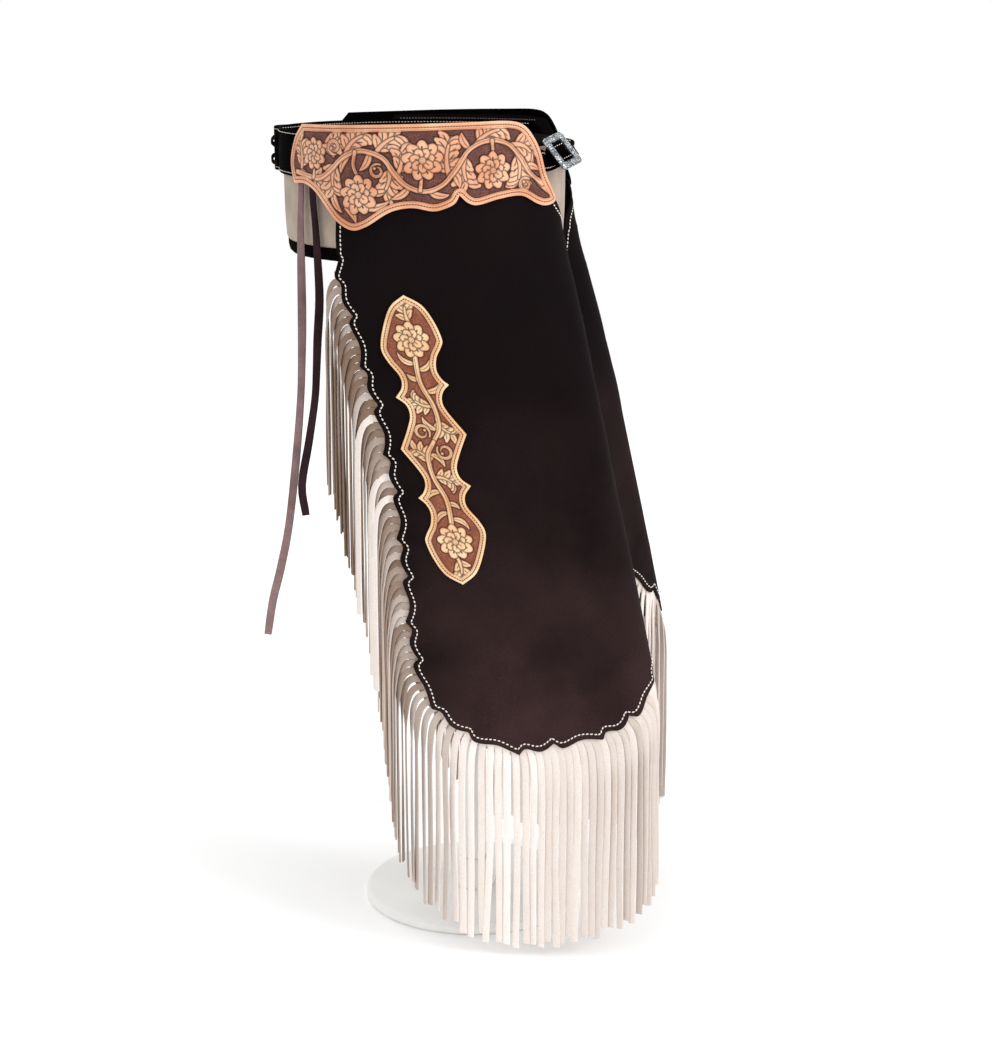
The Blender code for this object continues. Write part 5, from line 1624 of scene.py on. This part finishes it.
@dataclass
class Waist:
    """Belt halves, buckle, back lace and hanging thongs."""

    drape: Drape
    repeats: Repeats
    top_z: float = 0.804
    width: float = 0.043
    thick: float = 0.0034
    off: float = -0.0008
    strap_width: float = 0.020
    strap_thick: float = 0.0028
    strap_z: float = 0.778
    taper: tuple[float, float] = (0.098, 0.122)
    strap_leaves: float = 0.134
    back_gap: float = 0.006
    flare: float = 0.008
    flare_length: float = 0.020
    gap: float = 0.0003
    buckle_middle: tuple[float, float, float] = (-0.077, -0.0937, 0.7847)
    buckle_heading: float = math.radians(58)
    buckle_rise: float = math.radians(14)
    buckle_roll: float = math.radians(-38)
    frame_long: float = 0.036
    frame_wide: float = 0.030
    frame_thick: float = 0.0030
    window_long: float = 0.0222
    window_wide: float = 0.0160
    # Rings of the frame from its back over the face: whether it is measured from the outer edge or from the
    # window, how far inside that, height as a share of the thickness, and corner radius.
    frame_rows: tuple = (
        (True, 0.0004, 0.0, 0.0036), (True, 0.0, 0.20, 0.0040), (True, 0.0, 0.52, 0.0040),
        (True, 0.0007, 0.78, 0.0036), (True, 0.0011, 0.70, 0.0034), (True, 0.0026, 1.0, 0.0028),
        (False, -0.0022, 1.0, 0.0020), (False, -0.0011, 0.74, 0.0016), (False, -0.0006, 0.86, 0.0014),
        (False, 0.0, 0.70, 0.0012), (False, 0.0, 0.0, 0.0012),
    )
    bar_radius: float = 0.0012
    bar_depth: float = -0.0066
    wrap_thick: float = 0.0016
    wrap_length: float = 0.009
    leaves_reach: float = 0.026        # how firmly the right strap keeps its way
    passes: tuple[float, float, float] = (-0.020, -0.0948, 0.7765)
    passes_way: tuple[float, float, float] = (-1.0, -0.03, 0.0)
    passes_up: tuple[float, float, float] = (0.0, -0.10, 1.0)
    passes_reach: tuple[float, float] = (0.110, 0.030)     # how firmly the strap keeps its way there
    billet: tuple = ((0.0165, 1.0), (0.006, 1.0), (-0.0130, 1.0), (-0.0152, 0.80), (-0.0162, 0.55))
    stitch_inset: float = 0.0030
    stitch_pitch: float = 0.0034
    lace_width: float = 0.0042
    lace_thick: float = 0.0018
    lace_lifts: tuple[float, float] = (0.0007, 0.0013)     # off the belt, at its tucked ends and between them
    lace_tuck: float = 0.015
    # The lace's route: belt half, distance in from its laced end, and height.
    lace_rows: tuple = ((1, 0.017, 0.796), (1, 0.008, 0.792), (1, 0.0, 0.789), (-1, 0.0, 0.786),
                        (-1, 0.009, 0.781), (-1, 0.014, 0.7785), (-1, 0.009, 0.776), (-1, 0.0, 0.774),
                        (1, 0.0, 0.771), (1, 0.008, 0.769), (1, 0.017, 0.768))
    thong_width: float = 0.0080
    thong_thick: float = 0.0018
    thong_layer: float = 0.0010
    # Each thong's start behind the yoke (s, z), the yoke's edge there, and how it hangs: distance below that
    # edge and how far back it has swung.
    thongs: tuple = (
        ("thong_light", (-0.1172, 0.7960), 0.7526,
         ((0.030, 0.0012), (0.060, 0.0015), (0.120, 0.0018), (0.165, 0.0030), (0.205, 0.0051), (0.263, 0.0108),
          (0.328, 0.0192), (0.372, 0.0285), (0.405, 0.0371), (0.440, 0.0430))),
        ("thong_dark", (-0.0985, 0.7920), 0.7450,
         ((0.030, -0.0022), (0.060, -0.0036), (0.097, -0.0046), (0.135, -0.0020), (0.165, -0.0004),
          (0.193, 0.0017), (0.235, 0.0085), (0.277, 0.0161), (0.307, 0.0128))),
    )

    def __post_init__(self) -> None:
        """Works out the laced ends and the buckle's directions."""
        self.back_end = float(self.drape.hip_reach[-1]) - 0.5 * self.back_gap
        level = Vector((math.sin(self.buckle_heading), -math.cos(self.buckle_heading), 0.0))
        self.along = level * math.cos(self.buckle_rise) + UP * math.sin(self.buckle_rise)
        across = UP * math.cos(self.buckle_rise) - level * math.sin(self.buckle_rise)
        face = self.along.cross(across)
        self.across = across * math.cos(self.buckle_roll) + face * math.sin(self.buckle_roll)
        self.face = self.along.cross(self.across)
        self.centre = Vector(self.buckle_middle)

    def point(self, s: float, z: float, off: float, side: Side) -> Vector:
        """Point on the belt's line at a height."""
        found = Vector(self.drape.place(np.float64(s), np.float64(self.top_z), off, side))
        found.z = z
        return found

    def out(self, s: float, side: Side) -> Vector:
        """Direction out of the belt."""
        return Vector(self.drape.normal(np.float64(s), np.float64(self.top_z), side))

    def ahead(self, s: float, side: Side) -> Vector:
        """Direction along the belt towards the front."""
        turn = float(self.drape.heading(np.float64(s), np.float64(self.top_z)))
        return Vector((side.value * math.sin(turn), -math.cos(turn), 0.0))

    def flare_at(self, s: float) -> float:
        """How far the belt stands off near its laced end."""
        return self.flare * float(smooth((-self.back_end + self.flare_length - s) / self.flare_length))

    def hip_frames(self, side: Side) -> list[StrapFrame]:
        """Sections of one belt half, from its laced end to where its strap leaves the yoke.

        Args:
            side: Which half.

        Returns:
            The sections in order.
        """
        middle_z = self.top_z - 0.5 * self.width
        layer = self.off - 0.5 * self.thick
        frames = []
        for s in np.linspace(-self.back_end, self.strap_leaves, 84):
            narrow = float(smooth((s - self.taper[0]) / (self.taper[1] - self.taper[0])))
            z = middle_z + (self.strap_z - middle_z) * narrow
            frames.append(StrapFrame(self.point(s, z, layer + self.flare_at(s), side), UP, self.out(s, side),
                                     self.width + (self.strap_width - self.width) * narrow, self.thick))
        return frames

    def run_on(self, start: tuple[Vector, Vector, Vector], end: tuple[Vector, Vector, Vector], reach: float,
               thicks: np.ndarray) -> list[StrapFrame]:
        """Sections of a strap from one place, way and width direction to another.

        Args:
            start: Place, way and width direction that it leaves.
            end: The same where it arrives.
            reach: How strongly it keeps its way at both ends.
            thicks: Thickness of each new section.

        Returns:
            The sections after the start.
        """
        (p0, d0, a0), (p1, d1, a1) = start, end
        frames = []
        for k, thick in enumerate(thicks):
            t = (k + 1) / len(thicks)
            h00, h10 = 2 * t ** 3 - 3 * t ** 2 + 1, t ** 3 - 2 * t ** 2 + t
            h01, h11 = -2 * t ** 3 + 3 * t ** 2, t ** 3 - t ** 2
            middle = p0 * h00 + d0 * (reach * h10) + p1 * h01 + d1 * (reach * h11)
            way = (p0 * (6 * t * t - 6 * t) + d0 * (reach * (3 * t * t - 4 * t + 1))
                   + p1 * (6 * t - 6 * t * t) + d1 * (reach * (3 * t * t - 2 * t))).normalized()
            across = a0.lerp(a1, float(smooth(t)))
            across = (across - way * across.dot(way)).normalized()
            frames.append(StrapFrame(middle, across, way.cross(across), self.strap_width, float(thick)))
        return frames

    def skin(self, name: str, frames: list[StrapFrame], finish: Finish) -> Object:
        """A strap with softened edges through its sections.

        Args:
            name: The object's name.
            frames: The strap's sections.
            finish: The leather.

        Returns:
            The strap.
        """
        rings = []
        for f in frames:
            w, t, c = 0.5 * f.width, 0.5 * f.thick, 0.28 * f.thick
            section = [(-w, -t + c), (-w + c, -t), (w - c, -t), (w, -t + c),
                       (w, t - c), (w - c, t), (-w + c, t), (-w, t - c)]
            rings.append([tuple(f.middle + f.across * a + f.face * b) for a, b in section])
        verts, faces = loft(np.array(rings))
        return new_object(name, verts, faces, [finish], sharp=30.0)

    def edge_stitches(self, name: str, frames: list[StrapFrame]) -> Object:
        """Stitches along both edges of a strap, on both faces.

        Where the belt narrows to its strap, the upper edge stays unsewn.

        Args:
            name: The object's name.
            frames: The strap's sections.

        Returns:
            The stitches.
        """
        inset, pitch = self.stitch_inset, self.stitch_pitch
        points, ways, rises = [], [], []
        for sign in (1, -1):
            for edge in (-1, 1):
                run = np.array([tuple(f.middle + f.across * (edge * (0.5 * f.width - inset))
                                      + f.face * (sign * (0.5 * f.thick + 0.0001))) for f in frames])
                out = np.array([tuple(f.face * sign) for f in frames])
                reach = reach_of(run)
                places = np.arange(0.5 * pitch, reach[-1], pitch)
                if edge > 0:
                    wide = np.interp(places, reach, [f.width for f in frames])
                    places = places[(wide > self.width - 0.1 * MM) | (wide < self.strap_width + MM)]
                points.append(sampled(places, reach, run))
                ways.append(unit(sampled(places + 0.3 * pitch, reach, run)
                                 - sampled(places - 0.3 * pitch, reach, run)))
                rises.append(unit(sampled(places, reach, out)))
        return self.repeats.sew(name, np.vstack(points), np.vstack(ways), np.vstack(rises), 0.66 * pitch,
                                WHITE_THREAD, 0.0008)

    def build_right(self) -> list[Object]:
        """Right belt half, folded round the buckle's bar."""
        turn = self.bar_radius + self.gap + 0.5 * self.wrap_thick
        bar = self.centre + self.face * self.bar_depth
        frames = self.hip_frames(Side.RIGHT)
        leave = (frames[-1].middle, self.ahead(self.strap_leaves, Side.RIGHT), UP)
        arrive = (bar - self.along * self.wrap_length - self.face * turn, self.along, self.across)
        thins = np.linspace(self.thick, self.wrap_thick, 15)[1:]
        frames += self.run_on(leave, arrive, self.leaves_reach, thins)
        flat = len(frames)
        for a in np.radians(np.linspace(0.0, 180.0, 11)):
            frames.append(StrapFrame(
                bar + self.along * (turn * math.sin(a)) - self.face * (turn * math.cos(a)), self.across,
                self.face * math.cos(a) - self.along * math.sin(a), self.strap_width, self.wrap_thick))
        frames.append(StrapFrame(bar - self.along * self.wrap_length + self.face * turn, self.across,
                                 -self.face, self.strap_width, self.wrap_thick))
        belt = self.skin("belt_right_strap", frames, BELT_LEATHER)
        sewn = self.edge_stitches("stitches_belt_right", frames[:flat])
        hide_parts("belt_right")
        return [belt, sewn]

    def build_left(self) -> list[Object]:
        """Left belt half, whose strap runs through the buckle."""
        layer = self.centre - self.face * (self.gap + 0.5 * self.strap_thick)
        frames = self.hip_frames(Side.LEFT)
        leave = (frames[-1].middle, self.ahead(self.strap_leaves, Side.LEFT), UP)
        passes = (Vector(self.passes), Vector(self.passes_way).normalized(),
                  Vector(self.passes_up).normalized())
        places = [(layer + self.along * place, share * self.strap_width) for place, share in self.billet]
        strap = self.run_on(leave, passes, self.passes_reach[0], np.full(22, self.strap_thick))
        strap += self.run_on(passes, (places[0][0], -self.along, self.across), self.passes_reach[1],
                             np.full(14, self.strap_thick))
        strap += [StrapFrame(middle, self.across, -self.face, width, self.strap_thick)
                  for middle, width in places[1:]]
        strap = [StrapFrame(f.middle, f.across, -f.face, f.width, f.thick) for f in strap]
        belt = self.skin("belt_left_strap", frames + strap, BELT_LEATHER)
        sewn = self.edge_stitches("stitches_belt_left", (frames + strap)[:-2])
        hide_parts("belt_left")
        return [belt, sewn]

    def build_buckle(self) -> list[Object]:
        """Square engraved frame, and the bent bar behind it."""
        def ring(outer: bool, inset: float, height: float, corner: float) -> list:
            """Points of one of the frame's rings; frame_rows says what its values are."""
            long, wide = ((self.frame_long, self.frame_wide) if outer
                          else (self.window_long, self.window_wide))
            half_a, half_w, n = 0.5 * wide - inset, 0.5 * long - inset, height * self.frame_thick
            points = []
            for sa, sw in ((1, 1), (-1, 1), (-1, -1), (1, -1)):
                arc = [(half_a - corner + corner * math.sin(t), half_w - corner + corner * math.cos(t))
                       for t in np.linspace(0.0, math.pi / 2, 6)]
                arc = arc[::-1] if sa * sw > 0 else arc
                points += [tuple(self.centre + self.along * (sa * a) + self.across * (sw * w) + self.face * n)
                           for a, w in arc]
            return points

        verts, faces = loft(np.array([ring(*row) for row in self.frame_rows]), closed=True)
        frame = new_object("buckle_frame_engraved", verts, faces, [SILVER], sharp=35.0)
        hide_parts("buckle_frame")
        reach, drop = 0.5 * self.frame_long - 0.0035, self.bar_depth
        route = spline([(reach, -self.gap), (reach, drop + 0.002), (reach - 0.0012, drop), (0.0, drop),
                        (0.0012 - reach, drop), (-reach, drop + 0.002), (-reach, -self.gap)], 5)
        travel = unit(np.gradient(route, axis=0))
        rings = []
        for (p, n), (dp, dn) in zip(route, travel):
            middle = self.centre + self.across * float(p) + self.face * float(n)
            out = self.face * float(dp) - self.across * float(dn)
            rings.append([tuple(middle + (out * math.cos(k) + self.along * math.sin(k)) * self.bar_radius)
                          for k in np.linspace(0.0, 2 * math.pi, 15)[:-1]])
        verts, faces = loft(np.array(rings))
        bar = new_object("buckle_bar_round", verts, faces, [SILVER], sharp=40.0)
        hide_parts("buckle_bar")
        return [frame, bar]

    def build_lace(self) -> list[Object]:
        """Flat lace across the gap between the belt's ends."""
        points, normals = [], []
        for sign, inset, z in self.lace_rows:
            s, side = -self.back_end + inset, Side(sign)
            lift = self.lace_lifts[0 if inset > self.lace_tuck else 1]
            off = self.off + self.gap + 0.5 * self.lace_thick + self.flare_at(s) + lift
            points.append(tuple(self.point(s, z, off, side)))
            normals.append(tuple(self.out(s, side)))
        path = spline(points, 5)
        lace = self.repeats.strap("back_lace_flat", [path], [unit(spline(normals, 5))], [np.ones(len(path))],
                                  [0.0], self.lace_width, self.lace_thick, LACE_LEATHER)
        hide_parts("back_lace")
        return [lace]

    def build_thongs(self) -> list[Object]:
        """The two hanging thongs, each a strap along a path."""
        made = []
        for (name, (s, top), leaves, hang), finish in zip(self.thongs, (LIGHT_THONG, DARK_THONG)):
            start = self.drape.place(np.float64(s), np.float64(leaves), self.thong_layer)
            tucked = [start + np.array((0.0, 0.0, (top - leaves) * share)) for share in (1.0, 0.5, 0.0)]
            path = spline(tucked + [start + np.array((0.0, back, -down)) for down, back in hang], 4)
            turned = smooth((leaves - path[:, 2]) / 0.12)[:, None]
            side_out = self.drape.normal(np.float64(s), np.float64(leaves))
            rise = unit(side_out * (1.0 - turned) + np.array((-1.0, 0.0, 0.0)) * turned)
            reach = reach_of(path)
            twist = 0.35 * np.sin(reach / 0.055) * smooth((reach - 0.06) / 0.1)
            side_way = unit(np.cross(rise, unit(np.gradient(path, axis=0))))
            rise = unit(rise * np.cos(twist)[:, None] + side_way * np.sin(twist)[:, None])
            swell = 1.0 + 0.04 * np.sin(reach / 0.021)
            swell[-1] = 0.9
            piece = self.repeats.strap(name + "_strap", [path], [rise], [swell], [0.0], self.thong_width,
                                       self.thong_thick, finish)
            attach(piece, ROOT)
            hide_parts(name)
            made.append(piece)
        return made

    def build(self) -> list[Object]:
        """Makes the belt, the buckle and the lace."""
        belts = self.build_right() + self.build_left()
        made = belts + self.build_buckle() + self.build_lace()
        for piece in made:
            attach(piece, ROOT)
        return made


# ---------------------------------------------------------------------------------------- form and stand
@dataclass
class HipForm:
    """Limbless hip form on a pole and a round base."""

    half_side: float = 0.1566
    half_depth: float = 0.1406
    belly: float = 0.0045            # the front is flatter than the back
    back: float = 0.045
    sides: int = 144
    # Level rings of each piece: height, and how far inside the full oval.
    body: tuple = ((0.6968, 0.0060), (0.6970, 0.0040), (0.6985, 0.0027), (0.7015, 0.0018), (0.7220, 0.0006),
                   (0.7430, 0.0002), (0.7700, 0.0), (0.7850, 0.0), (0.7870, 0.0008), (0.7885, 0.0022),
                   (0.7890, 0.0040))
    band: tuple = ((0.6840, 0.0100), (0.6845, 0.0070), (0.6870, 0.0046), (0.6920, 0.0034), (0.6960, 0.0032),
                   (0.6965, 0.0040))
    cap: tuple = ((0.7893, 0.0044), (0.7900, 0.0040), (0.7915, 0.0046), (0.7925, 0.0070), (0.7930, 0.0130))
    pole: tuple = ((0.0103, 0.0125), (0.6837, 0.0125))
    base: tuple = ((0.0, 0.1125), (0.0006, 0.1140), (0.0022, 0.1150), (0.0070, 0.1150), (0.0088, 0.1140),
                   (0.0098, 0.1120), (0.0100, 0.1100))
    collar: tuple = ((0.0103, 0.0128), (0.0103, 0.0215), (0.0118, 0.0218), (0.0140, 0.0205), (0.0170, 0.0187),
                     (0.0240, 0.0183), (0.0388, 0.0178), (0.0400, 0.0168), (0.0403, 0.0150), (0.0403, 0.0128))

    def turned(self, name: str, rows: tuple, finish: Finish, oval: bool, closed: bool = False,
               sides: int | None = None) -> Object:
        """A piece of level rings, round or oval.

        Args:
            name: The object's name.
            rows: Height of each ring, and its radius or its place inside the oval.
            finish: The finish.
            oval: Whether the rings are oval.
            closed: Whether the last ring joins the first.
            sides: Points of a ring.

        Returns:
            The piece.
        """
        turn = np.linspace(0.0, 2 * math.pi, (sides or self.sides) + 1)[:-1]
        rings = []
        for z, value in rows:
            x, y = (self.half_side - value, self.half_depth - value) if oval else (value, value)
            depth = np.where(np.sin(turn) > 0.0, y, y - (self.belly if oval else 0.0))
            ring = np.stack([x * np.cos(turn), depth * np.sin(turn), np.full(len(turn), z)], axis=1)
            rings.append(ring + np.array((0.0, self.back if oval else 0.0, 0.0)))
        verts, faces = loft(np.array(rings), closed)
        return new_object(name, verts, faces, [finish], sharp=45.0)

    def build(self) -> list[Object]:
        """Makes the form and the stand."""
        pieces = [
            ("form_body", self.turned("form_body_cover", self.body, FORM_CLOTH, True), "form_cloth"),
            ("form_band", self.turned("form_band_cover", self.band, FORM_DARK_AND_CAP_SHADE, True), "form_dark"),
            # painted shade: the cap takes the charcoal cover so that the inside of the belt ring reads black
            ("form_cap", self.turned("form_cap_cover", self.cap, FORM_DARK_AND_CAP_SHADE, True), "form_dark"),
            ("stand_base", self.turned("stand_base_plate", self.base, STEEL, False), "stand_steel"),
            ("stand_pole", self.turned("stand_pole_tube", self.pole, STEEL, False, sides=48), "stand_steel"),
            ("stand_collar", self.turned("stand_collar_ring", self.collar, STEEL, False, True, 48),
             "stand_steel"),
        ]
        for node, piece, slot in pieces:
            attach(piece, ROOT)
            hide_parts(node)
        return [piece for _, piece, _ in pieces]


# ---------------------------------------------------------------------------------------- the studio
def aim(place: tuple, target: tuple) -> Euler:
    """The turn that makes a camera or a lamp look at a target."""
    return (Vector(target) - Vector(place)).to_track_quat("-Z", "Y").to_euler()


@dataclass
class Studio:
    """Camera, floor and soft light."""

    eye: tuple[float, float, float] = (-2.07956, -0.24726, 0.9050)
    target: tuple[float, float, float] = (0.00944, -0.02217, 0.40513)
    lens: float = 72.692
    sensor: float = 36.0
    world_colour: str = "ffffff"
    world_strength: float = 1.0
    # Each light: name, place, size, power in watts.
    lights: tuple = (
        ("key", (-1.5, -2.3, 2.2), 1.3, 40.0),
        ("back", (1.8, 0.9, 2.2), 1.4, 12.0),
    )
    lit: tuple[float, float, float] = (0.0, 0.0, 0.45)      # where the lights are aimed
    floor_half: float = 9.0

    def build_camera(self) -> None:
        """Sets the camera."""
        data = bpy.data.cameras.new("camera")
        data.sensor_fit, data.sensor_height, data.lens = "VERTICAL", self.sensor, self.lens
        data.clip_end = 60.0
        camera = linked("camera", data)
        camera.location = self.eye
        camera.rotation_euler = aim(self.eye, self.target)
        bpy.context.scene.camera = camera

    def build(self) -> None:
        """Makes the floor, the lights and the world."""
        h = self.floor_half
        floor = new_object("studio_floor", np.array([(-h, -h, 0), (h, -h, 0), (h, h, 0), (-h, h, 0)]),
                           [(0, 1, 2, 3)], [FLOOR], turn_out=False)
        for name, place, size, power in self.lights:
            data = bpy.data.lights.new(name, "AREA")
            data.size, data.energy = size, power
            light = linked(name, data)
            light.location = place
            light.rotation_euler = aim(place, self.lit)
        world = bpy.data.worlds.new("studio")
        world.use_nodes = True
        backdrop = next(n for n in world.node_tree.nodes if n.type == "BACKGROUND")
        backdrop.inputs[0].default_value = linear(self.world_colour)
        backdrop.inputs[1].default_value = self.world_strength
        bpy.context.scene.world = world
        bpy.context.scene.view_settings.view_transform = "Standard"


def main() -> None:
    """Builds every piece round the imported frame."""
    logging.basicConfig(level=logging.INFO, format="%(name)s: %(message)s")
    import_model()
    studio = Studio()
    studio.build_camera()
    drape, pattern, repeats = Drape(), LegPattern(), Repeats()
    waist = Waist(drape, repeats)
    made = waist.build_thongs()
    made += HipForm().build()
    made += waist.build()
    legs, fringe = Legs(drape, pattern, repeats), Fringe(drape, pattern, repeats)
    for side in Side:
        made += legs.build(side) + fringe.build(side)
    for piece in made:
        LOG.info("%s: %d faces", piece.name, len(piece.data.polygons))
    studio.build()


if __name__ == "__main__":
    main()
